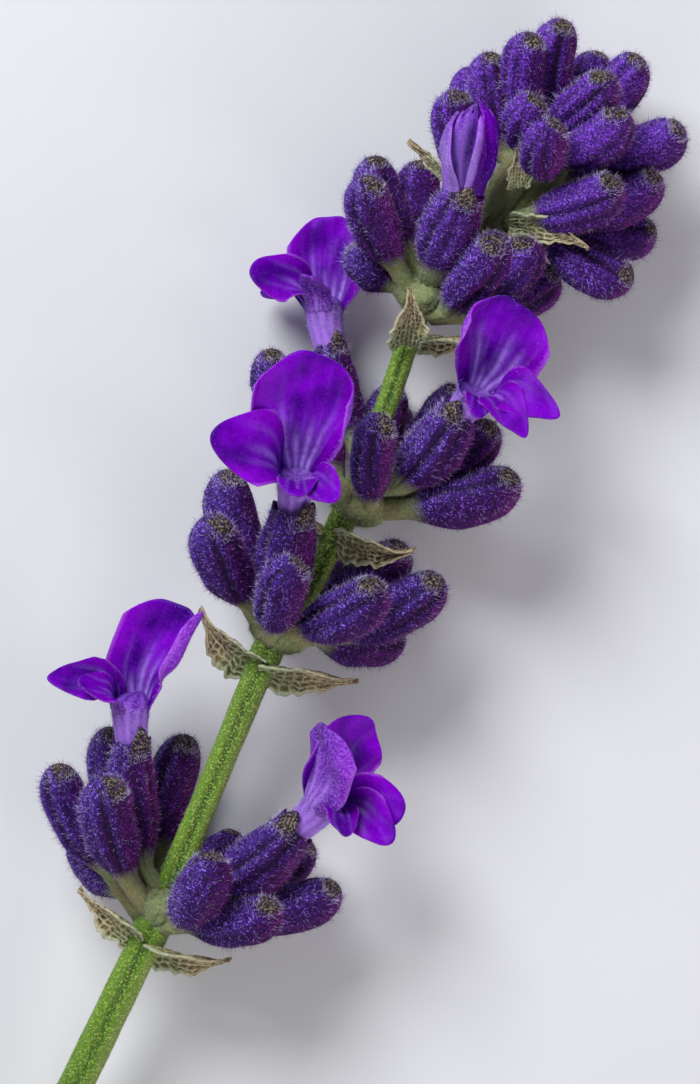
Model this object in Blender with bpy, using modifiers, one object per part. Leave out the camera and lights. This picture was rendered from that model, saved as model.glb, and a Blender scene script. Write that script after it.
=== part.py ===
"""Lavender sprig, cut and laid on its side.

A square stem carries four whorls of woolly calyces and a crowded head at its tip. Each whorl
is one body: its calyces grow from a small green collar that the stem passes through. Five
open two-lipped flowers and one half-open bud stand in the mouths of their calyces, and dry
bracts lie below the whorls.

Lengths in the tables are millimetres. Along runs up the sprig to its tip (+Y), across runs
to the right (+X), and up is the height above the surface that it lies on (+Z).
"""
import math
import random

import bmesh
import bpy
from mathutils import Quaternion, Vector

MM = 0.001
CENTRE_ALONG = -7.6
CENTRE_ACROSS = -0.85
ALONG = Vector((0.0, 1.0, 0.0))
GAP = 0.3
PETAL_THICKNESS = 0.6
BRACT_THICKNESS = 0.6

# Stem: centre line (along, across, up) and half width of its square section
STEM_LINE = [
    (-43.3, 0.2, 0.95, 0.92),
    (-37.0, 0.1, 1.9, 0.92),
    (-30.3, 0.1, 3.5, 0.92),
    (-25.3, 0.0, 4.6, 0.90),
    (-20.9, -0.1, 5.2, 0.85),
    (-14.5, -0.6, 5.5, 0.72),
    (-8.3, -1.1, 5.4, 0.76),
    (-6.0, -1.2, 5.3, 0.74),
    (-2.6, -0.8, 5.3, 0.68),
    (1.6, -0.9, 5.4, 0.64),
    (6.4, -1.4, 5.4, 0.60),
    (11.1, -2.1, 5.4, 0.60),
    (12.3, -2.3, 5.4, 0.60),
    (15.2, -1.6, 5.3, 0.56),
    (18.0, -0.6, 5.2, 0.52),
    (21.5, -0.1, 5.2, 0.45),
]
STEM_SIDES = 12
STEM_STEPS = 34
STEM_SQUARENESS = 0.10
# The whorls' hole is wider than the stem by this much all round, and runs past both its ends
HOLE_GROWTH = 0.42
HOLE_OVERRUN = 0.4
HOLE_STEPS = 24

# Collars: (along, across offset, reach from the stem, half length) of each whorl's green core
COLLARS = {
    "whorl_1": (-20.6, 0.0, 2.1, 1.0),
    "whorl_2": (-5.6, 0.0, 2.1, 1.0),
    "whorl_3": (1.9, 0.4, 2.1, 1.0),
    "whorl_4": (12.6, 0.0, 2.0, 1.0),
    "head": (20.3, 0.0, 2.1, 3.4),
}
COLLAR_SIDES = 10
COLLAR_RINGS = 6

# Calyces that the photograph shows: base (along, across, up) from the whorl's middle on the
# stem, pointing (side, rise) in degrees, length and width. Side turns from the sprig's tip to
# the right, and rise lifts off the surface.
CALYCES = {
    "whorl_1": [
        (0.4, -3.0, 0.0, -56, 4, 6.2, 2.4),
        (0.6, -2.1, 1.4, -40, 28, 6.0, 2.6),
        (1.8, -2.6, -1.2, -39, -8, 6.4, 2.4),
        (1.4, -1.7, 0.7, -32, 6, 6.4, 2.6),
        (2.1, -1.1, -1.5, -16, -8, 6.4, 2.4),
        (-0.2, -1.9, -0.6, -70, -40, 4.8, 2.4),
        (-0.2, 1.2, 1.2, 4, 46, 5.4, 2.6),
        (1.5, 1.8, 0.4, 25, 8, 5.8, 2.9),
        (-0.1, 1.5, 0.9, 55, 30, 5.5, 2.4),
        (1.0, 3.2, -0.3, 50, -2, 5.9, 2.4),
        (1.6, 2.1, -1.6, 37, -14, 5.8, 2.4),
    ],
    "whorl_2": [
        (1.2, -1.6, -0.6, -44, -4, 6.6, 2.6),
        (0.6, -1.9, 1.2, -54, 38, 5.9, 2.6),
        (1.4, -0.3, 1.6, -22, 24, 5.3, 2.9),
        (0.0, -0.3, 1.5, -12, 52, 5.6, 2.4),
        (0.5, 0.8, 1.4, 39, 34, 5.8, 2.6),
        (1.8, 1.2, -0.4, 29, 0, 5.6, 2.5),
        (1.0, 2.4, 0.2, 38, 6, 6.4, 2.6),
        (0.6, 1.8, -1.0, 66, -36, 5.4, 2.4),
    ],
    "whorl_3": [
        (1.0, -2.8, -0.8, -50, -6, 5.9, 2.3),
        (2.6, -1.0, -1.4, -42, -10, 5.2, 2.4),
        (0.9, 0.8, -1.5, -16, -26, 6.2, 2.2),
        (0.2, 1.0, 1.2, -22, 34, 5.4, 2.1),
        (1.6, 1.8, 0.8, 13, 12, 5.0, 2.8),
        (2.4, 1.6, -1.2, 8, -14, 5.4, 2.3),
        (1.8, 2.8, -0.2, 22, -2, 5.3, 2.3),
        (0.8, 2.6, 0.5, 50, 6, 6.0, 2.6),
    ],
    "whorl_4": [
        (0.7, -1.9, 1.0, -50, 26, 5.2, 2.4),
        (1.4, -1.5, -0.4, -49, -6, 5.6, 2.4),
        (1.8, -0.9, -1.4, -30, -16, 5.2, 2.4),
        (-0.1, -1.4, -0.1, -76, -12, 3.2, 2.2),
        (1.1, -0.2, 1.3, -5, 22, 4.8, 2.8),
        (-0.2, 1.3, 0.8, 12, 27, 5.2, 2.6),
        (1.4, 2.6, 0.2, 20, 38, 4.4, 2.5),
        (0.4, 2.6, -0.6, 38, -6, 4.8, 2.4),
    ],
    "head": [
        (-1.8, 0.9, 1.6, 46, 22, 5.1, 2.5),
        (-1.7, -2.1, -0.2, -42, 4, 5.2, 2.3),
        (0.6, -1.4, -0.4, -40, -4, 5.4, 2.3),
        (-1.0, 3.0, 0.3, 36, 8, 5.0, 2.2),
        (-1.3, 2.4, -1.0, 70, -8, 5.0, 2.4),
        (-2.2, 1.9, 0.0, 94, 12, 5.2, 2.4),
        (1.4, 0.9, 1.2, 33, 36, 4.8, 2.4),
        (0.4, 0.4, 1.6, -20, 62, 4.4, 2.3),
        (1.2, -0.8, 1.4, -30, 58, 4.0, 2.2),
        (2.3, -1.3, 0.6, -28, 18, 4.8, 2.2),
        (2.8, -0.4, 0.0, -20, 4, 5.4, 2.3),
        (2.6, -0.3, 0.9, 28, 36, 4.8, 2.3),
        (3.4, 1.2, -0.4, 12, -4, 4.8, 2.3),
        (3.6, 0.6, -1.2, -5, -24, 4.2, 2.2),
        (2.2, 2.2, -0.1, 48, 4, 5.1, 2.5),
    ],
}

# Calyces on the side that the photograph hides, set round the lower half of the stem:
# (how many, first and last turn round the stem and lean from it in degrees, length, start of
# the draw)
HIDDEN = {
    "whorl_1": (4, 212, 328, 49, 6.0, 3),
    "whorl_2": (4, 208, 322, 46, 6.0, 5),
    "whorl_3": (3, 222, 318, 53, 5.8, 7),
    "whorl_4": (3, 244, 322, 55, 5.4, 11),
    "head": (5, 200, 340, 53, 5.4, 13),
}
HIDDEN_WIDTH = 2.4
# Base of a hidden calyx: first place along, step of every second one, and reach from the stem
HIDDEN_ALONG = 0.4
HIDDEN_STEP = 1.1
HIDDEN_ACROSS = 1.7
HIDDEN_DOWN = 1.5

CALYX_SIDES = 8
# A stalk starts inside the collar, and climbs by this share of its reach from the stem
STALK_ROOT = 0.6
STALK_RISE = 0.55
# Stalk's thickness, as a share of the calyx's width
STALK_WIDTH = 0.42
# Calyx outline: (share of its length, share of its half width), for a closed calyx
CLOSED_CALYX = [(0.0, 0.42), (0.16, 0.74), (0.42, 1.0), (0.72, 0.98), (0.92, 0.66)]
OPEN_CALYX = [(0.0, 0.42), (0.16, 0.74), (0.42, 1.0), (0.76, 0.92), (1.0, 0.70)]
CALYX_BEND = 0.05

# Open flowers: whorl and calyx that each stands in, tube (side, rise, length), upper lips as
# (side, rise, length, half width, half turn round the tube at the root, where the inner face
# looks as (side, rise)), and lower lobes as (side, rise, length, half width, how far the face
# turns up)
FLOWERS = {
    "flower_1_left": ("whorl_1", 3, (-24, 14, 1.5), [
        (2, 12, 5.5, 2.2, 70, (-95, 58)),
    ], [
        (-98, 34, 2.8, 0.8, 0.5), (-113, 8, 4.1, 1.2, 0.7), (-106, -24, 3.6, 1.0, 0.5),
    ]),
    "flower_1_right": ("whorl_1", 7, (10, 18, 1.5), [
        (4, 4, 4.9, 1.7, 50, (96, 52)), (-20, 26, 4.2, 1.4, 50, (96, -34)),
    ], [
        (140, 40, 2.6, 0.8, 0.4), (103, 14, 3.9, 1.1, 0.8), (70, 6, 3.7, 1.3, 0.8),
    ]),
    "flower_2": ("whorl_2", 2, (-22, 44, 1.6), [
        (-17, 14, 5.9, 2.7, 74, (-30, 84)),
    ], [
        (108, 36, 3.0, 1.0, 0.4), (150, 60, 2.4, 1.0, 0.0), (-100, 20, 4.7, 1.8, 0.6),
    ]),
    "flower_3_left": ("whorl_3", 1, (-28, 0, 1.8), [
        (-24, -6, 4.7, 2.0, 70, (-60, 70)),
    ], [
        (-56, 50, 2.2, 0.8, 0.2), (-99, 12, 3.8, 1.2, 0.8), (-122, -26, 3.2, 0.9, 0.5),
    ]),
    "flower_3_right": ("whorl_3", 4, (0, 42, 1.2), [
        (-3, 15, 4.6, 2.5, 72, (8, 80)),
    ], [
        (92, 24, 4.6, 1.5, 0.6), (122, 30, 4.2, 1.1, 0.6), (160, 50, 2.6, 0.8, 0.2),
    ]),
}
# Tube's inner radius at the calyx's mouth and at its rim, its wall, and the petals' radius
# at their roots
TUBE_RADIUS = (0.30, 0.45)
TUBE_THICKNESS = 0.75
LOBE_RADIUS = 0.80
# How deep a lobe's root is sunk in the tube, and the shares of its length that run straight on
# and bend away
LOBE_SINK = 0.48
LOBE_STRAIGHT = 0.05
LOBE_ARC = 0.4
# Share of the length that the corners of a lip and of a lobe fall short by, and its exponent
LIP_CORNER = (0.30, 3.0)
LOBE_CORNER = (0.38, 2.4)
# A lobe widens over this share of its length, and its edges curl in by this share of its width
BLADE_FROM = 0.5
LOBE_CUP = 0.22
# Half turn round the tube that a lower lobe takes up at the root, in degrees, and the shares of
# its length between which its face turns up
LOBE_TURN = 33
TWIST_FROM = 0.15
TWIST_OVER = 0.6
TUBE_COLUMNS = 10
TUBE_ROWS = 2
LIP_COLUMNS = 5
LOBE_COLUMNS = 4
LOBE_ROWS = 6

# Bud that is half open: whorl, calyx, (side, rise), length and width
BUD = ("whorl_4", 4, (-18, 14), 4.2, 2.3)
BUD_SIDES = 12
BUD_RINGS = 8
BUD_FOLD = 0.12

# Bracts: whorl, root (along, across, up) from the whorl's middle, pointing (side, rise),
# facing (side, rise), length, half width and how far the tip curls to the faced side
BRACTS = {
    "bract_1_left": ("whorl_1", (-1.7, -1.3, 0.7), (-74, 20), (170, 40), 2.8, 0.9, -0.2),
    "bract_1_right": ("whorl_1", (-1.8, 1.3, 0.7), (76, 16), (170, 30), 3.2, 1.0, -0.2),
    "bract_2_left": ("whorl_2", (-1.8, -1.2, 0.6), (-82, 14), (165, 40), 3.0, 1.2, -0.2),
    "bract_2_right": ("whorl_2", (-1.8, 1.1, 0.6), (68, 6), (165, 40), 3.8, 1.0, -0.2),
    "bract_3_left": ("whorl_3", (-1.7, -1.3, -0.3), (-76, -14), (-170, 10), 2.8, 1.0, -0.2),
    "bract_3_right": ("whorl_3", (-1.7, 1.2, 1.2), (78, 26), (165, 50), 3.0, 1.0, -0.2),
    "bract_4_front": ("whorl_4", (-1.9, -0.1, 1.7), (-30, 46), (150, 50), 2.4, 0.9, -0.2),
    "bract_4_right": ("whorl_4", (-1.7, 1.2, -0.2), (74, -6), (165, 20), 2.8, 1.0, -0.2),
}
BRACT_COLUMNS = 4
BRACT_ROWS = 5
BRACT_CUP = 0.25

# Slab that cuts the flat spots of rest: across, along and down
SURFACE_SIZE = (60.0, 100.0, 10.0)

COLOURS = {
    "stem_green": ((0.12, 0.26, 0.02, 1.0), 0.6),
    "calyx_violet": ((0.05, 0.012, 0.16, 1.0), 0.9),
    "petal_violet": ((0.18, 0.0, 0.55, 1.0), 0.55),
    "bract_tan": ((0.32, 0.24, 0.11, 1.0), 0.8),
}


def point(along, across, up):
    return Vector((across - CENTRE_ACROSS, along - CENTRE_ALONG, up)) * MM


def heading(side, rise):
    side = math.radians(side)
    rise = math.radians(rise)
    return Vector((math.sin(side) * math.cos(rise), math.cos(side) * math.cos(rise),
                   math.sin(rise)))


def smooth(x):
    x = min(max(x, 0.0), 1.0)
    return x * x * (3.0 - 2.0 * x)


def face_out(bm):
    """Turn a closed body's faces outwards."""
    bmesh.ops.recalc_face_normals(bm, faces=bm.faces)
    if bm.calc_volume(signed=True) < 0.0:
        bmesh.ops.reverse_faces(bm, faces=bm.faces)


def stem_at(along):
    """Centre of the stem and its half width at a place along it, eased between the points."""
    line = STEM_LINE
    low = 0
    while low < len(line) - 2 and line[low + 1][0] < along:
        low += 1
    before = line[max(low - 1, 0)]
    first = line[low]
    second = line[low + 1]
    after = line[min(low + 2, len(line) - 1)]
    span = second[0] - first[0]
    f = (along - first[0]) / span
    values = []
    for k in (1, 2, 3):
        start_slope = (second[k] - before[k]) / (second[0] - before[0]) * span
        end_slope = (after[k] - first[k]) / (after[0] - first[0]) * span
        values.append((2 * f ** 3 - 3 * f ** 2 + 1) * first[k]
                      + (f ** 3 - 2 * f ** 2 + f) * start_slope
                      + (3 * f ** 2 - 2 * f ** 3) * second[k]
                      + (f ** 3 - f ** 2) * end_slope)
    return values


def middle(whorl):
    along = COLLARS[whorl][0]
    across, up, _ = stem_at(along)
    return along, across, up


def new_object(name, bm, collection, material=None):
    mesh = bpy.data.meshes.new(name)
    bm.to_mesh(mesh)
    bm.free()
    obj = bpy.data.objects.new(name, mesh)
    collection.objects.link(obj)
    if material:
        mesh.materials.append(material)
    return obj


def evaluated_mesh(obj, name):
    """The object's mesh with its modifiers applied."""
    bpy.context.view_layer.update()
    depsgraph = bpy.context.evaluated_depsgraph_get()
    mesh = bpy.data.meshes.new_from_object(obj.evaluated_get(depsgraph))
    mesh.name = name
    return mesh


def apply_modifiers(obj):
    mesh = evaluated_mesh(obj, obj.name)
    old = obj.data
    obj.modifiers.clear()
    obj.data = mesh
    bpy.data.meshes.remove(old)


def shade(obj, angle=50):
    obj.data.shade_smooth()
    obj.data.set_sharp_from_angle(angle=math.radians(angle))


def make_materials():
    made = {}
    for name, (colour, roughness) in COLOURS.items():
        material = bpy.data.materials.new(name)
        material.use_nodes = True
        surface = material.node_tree.nodes["Principled BSDF"]
        surface.inputs["Base Color"].default_value = colour
        surface.inputs["Roughness"].default_value = roughness
        surface.inputs["Metallic"].default_value = 0.0
        made[name] = material
    return made


def stem_body(grow, end_extra, steps):
    """A square, round-cornered rod along the stem's line, thicker by grow."""
    first = STEM_LINE[0][0] - end_extra
    last = STEM_LINE[-1][0] + end_extra
    bm = bmesh.new()
    bmesh.ops.create_cone(bm, cap_ends=True, cap_tris=True, segments=STEM_SIDES,
                          radius1=1.0, radius2=1.0, depth=1.0)
    sides = [e for e in bm.edges if abs(e.verts[0].co.z - e.verts[1].co.z) > 0.5]
    bmesh.ops.subdivide_edges(bm, edges=sides, cuts=steps - 1, use_grid_fill=True)
    for vert in bm.verts:
        turn = math.atan2(vert.co.y, vert.co.x)
        distance = math.hypot(vert.co.x, vert.co.y)
        along = first + (last - first) * (vert.co.z + 0.5)
        across, up, half = stem_at(min(max(along, STEM_LINE[0][0]), STEM_LINE[-1][0]))
        corner = 1.0 - STEM_SQUARENESS * math.cos(4.0 * turn)
        reach = distance * (half * corner + grow)
        vert.co = point(along, across + reach * math.cos(turn), up + reach * math.sin(turn))
    face_out(bm)
    return bm


def collar_body(whorl):
    along, shift, reach, half_length = COLLARS[whorl]
    across, up, _ = stem_at(along)
    bm = bmesh.new()
    bmesh.ops.create_uvsphere(bm, u_segments=COLLAR_SIDES, v_segments=COLLAR_RINGS,
                              radius=1.0)
    for vert in bm.verts:
        x, y, z = vert.co
        here = along + half_length * z
        here_across, here_up, _ = stem_at(min(here, STEM_LINE[-1][0]))
        vert.co = point(here, here_across + shift + reach * x, here_up + reach * y)
    face_out(bm)
    return bm


class Calyx:
    """One calyx: its stalk's root in the stem, its base and its curved middle line, in mm."""

    def __init__(self, whorl, row, opened):
        along, across, up = middle(whorl)
        d_along, d_across, d_up, side, rise, length, width = row
        self.direction = heading(side, rise)
        self.base = Vector((across + d_across, along + d_along, up + d_up))
        self.length = length
        self.width = width
        self.opened = opened
        foot = self.base.y - STALK_RISE * math.hypot(d_across, d_up)
        foot_across, foot_up, _ = stem_at(min(foot, STEM_LINE[-1][0]))
        axis = Vector((foot_across, foot, foot_up))
        self.root = axis + (self.base - axis).normalized() * STALK_ROOT
        sag = ALONG - self.direction * self.direction.dot(ALONG)
        self.sag = -sag.normalized()

    def centre(self, share):
        bend = CALYX_BEND * self.length * 4.0 * share * (1.0 - share)
        return self.base + self.direction * (self.length * share) + self.sag * bend

    def mouth(self):
        return self.centre(1.0)


def calyx_body(calyx):
    """A closed calyx with its stalk, as a ball pulled out along the calyx's middle line."""
    outline = OPEN_CALYX if calyx.opened else CLOSED_CALYX
    half = calyx.width / 2.0
    stations = [(calyx.root, 0.0), (calyx.root, STALK_WIDTH * half)]
    for share, reach in outline:
        stations.append((calyx.centre(share), reach * half))
    stations.append((calyx.centre(1.0), 0.0))
    rings = len(stations) - 1
    bm = bmesh.new()
    bmesh.ops.create_uvsphere(bm, u_segments=CALYX_SIDES, v_segments=rings, radius=1.0)
    right = calyx.direction.cross(Vector((0.0, 0.0, 1.0)))
    if right.length < 0.1:
        right = Vector((1.0, 0.0, 0.0))
    right.normalize()
    front = right.cross(calyx.direction)
    for vert in bm.verts:
        polar = math.acos(max(-1.0, min(1.0, -vert.co.z)))
        centre, reach = stations[round(polar / math.pi * rings)]
        turn = math.atan2(vert.co.y, vert.co.x)
        place = centre + (right * math.cos(turn) + front * math.sin(turn)) * reach
        vert.co = point(place.y, place.x, place.z)
    face_out(bm)
    return bm


def hidden_rows(whorl):
    """Calyces of the lower half, spread evenly round the stem with a little disorder."""
    count, first, last, middle_lean, length, seed = HIDDEN[whorl]
    draw = random.Random(seed)
    rows = []
    for k in range(count):
        turn = first + (last - first) * k / (count - 1) + draw.uniform(-5.0, 5.0)
        lean = middle_lean + draw.uniform(-4.0, 4.0)
        out = math.sin(math.radians(lean))
        x = out * math.cos(math.radians(turn))
        z = out * math.sin(math.radians(turn))
        y = math.cos(math.radians(lean))
        side = math.degrees(math.atan2(x, y))
        rise = math.degrees(math.asin(z))
        rows.append((HIDDEN_ALONG + HIDDEN_STEP * (k % 2), HIDDEN_ACROSS * x, HIDDEN_DOWN * z,
                     side, rise, length, HIDDEN_WIDTH))
    return rows


def make_calyces(parts, bore, surface, materials):
    made = {}
    opened = {}
    for whorl, number, *_ in FLOWERS.values():
        opened.setdefault(whorl, set()).add(number)
    opened.setdefault(BUD[0], set()).add(BUD[1])
    for whorl, rows in CALYCES.items():
        repeats = bpy.data.collections.new(whorl + "_repeats")
        bpy.context.scene.collection.children.link(repeats)
        calyces = []
        for k, row in enumerate(rows + hidden_rows(whorl)):
            calyces.append(Calyx(whorl, row, k in opened.get(whorl, ())))
        for k, calyx in enumerate(calyces):
            new_object(f"{whorl}_calyx_{k}", calyx_body(calyx), repeats)
        body = new_object(whorl + "_calyces", collar_body(whorl), parts,
                          materials["calyx_violet"])
        union = body.modifiers.new("calyces", "BOOLEAN")
        union.operation = "UNION"
        union.operand_type = "COLLECTION"
        union.collection = repeats
        union.solver = "EXACT"
        for name, cutter in (("stem hole", bore), ("flat of rest", surface)):
            cut = body.modifiers.new(name, "BOOLEAN")
            cut.operation = "DIFFERENCE"
            cut.object = cutter
            cut.solver = "EXACT"
        apply_modifiers(body)
        for obj in list(repeats.objects):
            bpy.data.objects.remove(obj)
        bpy.data.collections.remove(repeats)
        drop_scraps(body)
        shade(body)
        made[whorl] = calyces
    return made


def drop_scraps(obj):
    """Keep the largest body of a mesh, where a Boolean has left small pieces beside it."""
    bm = bmesh.new()
    bm.from_mesh(obj.data)
    bmesh.ops.remove_doubles(bm, verts=bm.verts, dist=0.002 * MM)
    left = set(bm.verts)
    bodies = []
    while left:
        stack = [left.pop()]
        body = set(stack)
        while stack:
            vert = stack.pop()
            for edge in vert.link_edges:
                other = edge.other_vert(vert)
                if other in left:
                    left.discard(other)
                    body.add(other)
                    stack.append(other)
        bodies.append(body)
    bodies.sort(key=len)
    for body in bodies[:-1]:
        bmesh.ops.delete(bm, geom=list(body), context="VERTS")
    bm.to_mesh(obj.data)
    bm.free()


def sheet_body(name, sheet, thickness, side, collection, material=None):
    """A closed body of this thickness from an open sheet, split alike on both its faces."""
    bmesh.ops.triangulate(sheet, faces=sheet.faces)
    obj = new_object(name, sheet, collection, material)
    thick = obj.modifiers.new("thickness", "SOLIDIFY")
    thick.thickness = thickness * MM
    thick.offset = side
    apply_modifiers(obj)
    return obj


def tube_sheet(start, knee, rim, up_calyx, axis):
    """The flower's tube: it leaves the calyx's mouth straight and bends to its own axis."""
    sheet = bmesh.new()
    bmesh.ops.create_cone(sheet, cap_ends=False, segments=TUBE_COLUMNS, radius1=1.0,
                          radius2=1.0, depth=1.0)
    sides = [e for e in sheet.edges if abs(e.verts[0].co.z - e.verts[1].co.z) > 0.5]
    bmesh.ops.subdivide_edges(sheet, edges=sides, cuts=TUBE_ROWS - 1, use_grid_fill=True)
    right = axis.cross(Vector((0.0, 0.0, 1.0))).normalized()
    for vert in sheet.verts:
        share = vert.co.z + 0.5
        turn = math.atan2(vert.co.y, vert.co.x)
        forward = (up_calyx * (1.0 - share) + axis * share).normalized()
        side = (right - forward * forward.dot(right)).normalized()
        radius = TUBE_RADIUS[0] + (TUBE_RADIUS[1] - TUBE_RADIUS[0]) * share
        place = start * (1 - share) ** 2 + knee * (2 * share * (1 - share)) + rim * share ** 2
        place += (side * math.cos(turn) + forward.cross(side) * math.sin(turn)) * radius
        vert.co = point(place.y, place.x, place.z)
    return sheet


def petal_sheet(rim, axis, petal, out, spread, columns, outline, face_up):
    """A petal. It runs on along the tube, bends away on an arc and spreads out."""
    side, rise, length, half_width = petal
    direction = heading(side, rise)
    bend = axis.angle(direction)
    lean = (direction - axis * axis.dot(direction)).normalized()
    out = out or lean
    sheet = bmesh.new()
    bmesh.ops.create_grid(sheet, x_segments=columns, y_segments=LOBE_ROWS, size=1.0)
    for vert in sheet.verts:
        s = vert.co.x
        t = outline(s) * (vert.co.y + 1.0) / 2.0
        along, away, angle = arc_place(t * (length + LOBE_SINK) - LOBE_SINK, length, bend)
        turned = Quaternion(axis.cross(lean), angle)
        forward = turned @ axis
        up = forward * forward.z - Vector((0.0, 0.0, 1.0))
        twist = face_up * smooth((t - TWIST_FROM) / TWIST_OVER)
        normal = ((turned @ out) * (1.0 - twist) + up.normalized() * twist).normalized()
        k = smooth(t / BLADE_FROM)
        turn = s * math.radians(spread)
        across = LOBE_RADIUS * math.sin(turn) * (1.0 - k) + half_width * s * k
        inward = LOBE_RADIUS * (1.0 - math.cos(turn)) * (1.0 - k)
        inward += LOBE_CUP * half_width * s * s * k
        place = rim + axis * along + lean * away + out * LOBE_RADIUS
        place += forward.cross(normal) * across - normal * inward
        vert.co = point(place.y, place.x, place.z)
    return sheet


def lip_outline(s):
    """How far the lip reaches at s, which is 0 on its middle and 1 on its edges."""
    return 1.0 - LIP_CORNER[0] * abs(s) ** LIP_CORNER[1]


def lobe_outline(s):
    return 1.0 - LOBE_CORNER[0] * abs(s) ** LOBE_CORNER[1]


def arc_place(distance, length, bend):
    """How far along the axis and away from it a lobe has come, and its angle there."""
    straight = LOBE_STRAIGHT * length
    radius = LOBE_ARC * length / bend
    if distance <= straight:
        return distance, 0.0, 0.0
    angle = min((distance - straight) / radius, bend)
    rest = distance - straight - angle * radius
    along = straight + radius * math.sin(angle) + rest * math.cos(angle)
    away = radius * (1.0 - math.cos(angle)) + rest * math.sin(angle)
    return along, away, angle


def make_flowers(parts, calyces, materials):
    """Each flower is its tube with its lips and three lobes fused to it."""
    for name, (whorl, number, tube, lips, lobes) in FLOWERS.items():
        side, rise, tube_length = tube
        calyx = calyces[whorl][number]
        axis = heading(side, rise)
        start = calyx.mouth() + calyx.direction * GAP
        knee = start + calyx.direction * (0.5 * tube_length)
        rim = knee + axis * (0.5 * tube_length)
        petals = bpy.data.collections.new(name + "_petals")
        bpy.context.scene.collection.children.link(petals)
        for *shape, spread, facing in lips:
            inner = heading(*facing)
            out = (axis * axis.dot(inner) - inner).normalized()
            sheet = petal_sheet(rim, axis, shape, out, spread, LIP_COLUMNS, lip_outline, 0.0)
            sheet_body(name + "_lip", sheet, PETAL_THICKNESS, 0.0, petals)
        for *shape, face_up in lobes:
            sheet = petal_sheet(rim, axis, shape, None, LOBE_TURN, LOBE_COLUMNS, lobe_outline,
                                face_up)
            sheet_body(name + "_lobe", sheet, PETAL_THICKNESS, 0.0, petals)
        obj = sheet_body(name, tube_sheet(start, knee, rim, calyx.direction, axis),
                         TUBE_THICKNESS, 1.0, parts, materials["petal_violet"])
        union = obj.modifiers.new("petals", "BOOLEAN")
        union.operation = "UNION"
        union.operand_type = "COLLECTION"
        union.collection = petals
        union.solver = "EXACT"
        apply_modifiers(obj)
        for petal in list(petals.objects):
            bpy.data.objects.remove(petal)
        bpy.data.collections.remove(petals)
        drop_scraps(obj)
        shade(obj)


def make_bud(parts, calyces, materials):
    """The half-open bud: a pointed ball whose folds wind round it."""
    whorl, number, (side, rise), length, width = BUD
    axis = heading(side, rise)
    calyx = calyces[whorl][number]
    start = calyx.mouth() + calyx.direction * GAP
    right = axis.cross(Vector((0.0, 0.0, 1.0))).normalized()
    front = right.cross(axis)
    bm = bmesh.new()
    bmesh.ops.create_uvsphere(bm, u_segments=BUD_SIDES, v_segments=BUD_RINGS, radius=1.0)
    for vert in bm.verts:
        share = math.acos(max(-1.0, min(1.0, -vert.co.z))) / math.pi
        turn = math.atan2(vert.co.y, vert.co.x)
        reach = width / 2.0 * max(0.0, math.sin(math.pi * share ** 0.8)) ** 0.6
        reach *= 1.0 + BUD_FOLD * math.cos(3.0 * turn + 4.0 * share)
        place = start + axis * (length * share)
        place += (right * math.cos(turn) + front * math.sin(turn)) * reach
        vert.co = point(place.y, place.x, place.z)
    face_out(bm)
    shade(new_object("flower_4_bud", bm, parts, materials["petal_violet"]))


def make_bracts(parts, materials):
    for name, (whorl, root, aim, face, length, half_width, curl) in BRACTS.items():
        along, across, up = middle(whorl)
        start = Vector((across + root[1], along + root[0], up + root[2]))
        forward = heading(*aim)
        facing = heading(*face)
        facing = (facing - forward * facing.dot(forward)).normalized()
        lateral = forward.cross(facing)
        sheet = bmesh.new()
        bmesh.ops.create_grid(sheet, x_segments=BRACT_COLUMNS, y_segments=BRACT_ROWS, size=1.0)
        for vert in sheet.verts:
            s = vert.co.x
            t = (vert.co.y + 1.0) / 2.0
            half = half_width * math.sin(math.pi * (0.15 + 0.83 * t) ** 0.75) ** 0.8 + 0.1
            place = start + forward * (length * t) + lateral * (half * s)
            place += facing * (curl * t * t - BRACT_CUP * half * s * s)
            vert.co = point(place.y, place.x, place.z)
        shade(sheet_body(name, sheet, BRACT_THICKNESS, 0.0, parts, materials["bract_tan"]))


def make_cutters(cutters):
    """The stem's clearance hole, and the surface that the sprig's lowest calyces rest on."""
    bore = new_object("stem_hole", stem_body(HOLE_GROWTH, HOLE_OVERRUN, HOLE_STEPS), cutters)
    bm = bmesh.new()
    bmesh.ops.create_cube(bm, size=1.0)
    wide, deep, high = SURFACE_SIZE
    for vert in bm.verts:
        vert.co = Vector((vert.co.x * wide, vert.co.y * deep, (vert.co.z - 0.5) * high)) * MM
    surface = new_object("resting_surface", bm, cutters)
    for obj in (bore, surface):
        obj.hide_render = True
        obj.display_type = "WIRE"
    return bore, surface


def main():
    for obj in list(bpy.data.objects):
        bpy.data.objects.remove(obj)
    parts = bpy.data.collections.new("lavender_sprig")
    cutters = bpy.data.collections.new("cutters")
    bpy.context.scene.collection.children.link(parts)
    bpy.context.scene.collection.children.link(cutters)
    materials = make_materials()
    bore, surface = make_cutters(cutters)
    shade(new_object("stem", stem_body(0.0, 0.0, STEM_STEPS), parts, materials["stem_green"]))
    calyces = make_calyces(parts, bore, surface, materials)
    make_flowers(parts, calyces, materials)
    make_bud(parts, calyces, materials)
    make_bracts(parts, materials)


main()
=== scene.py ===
"""Looks of the lavender sprig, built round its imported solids.

The tables repeat the sprig's construction: the stem's line, every calyx, flower and bract.
From them come finer forms of the same pieces: ribbed calyces with their dark tooth, thin
veined petals, wrinkled bracts, a furrowed stem, and the short hairs that cover them all.

Lengths in the tables are millimetres. Along runs up the sprig to its tip (+Y), across runs
to the right (+X), and up is the height above the surface that it lies on (+Z). A point is an
array (across, along, up).
"""
import math
import random

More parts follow.
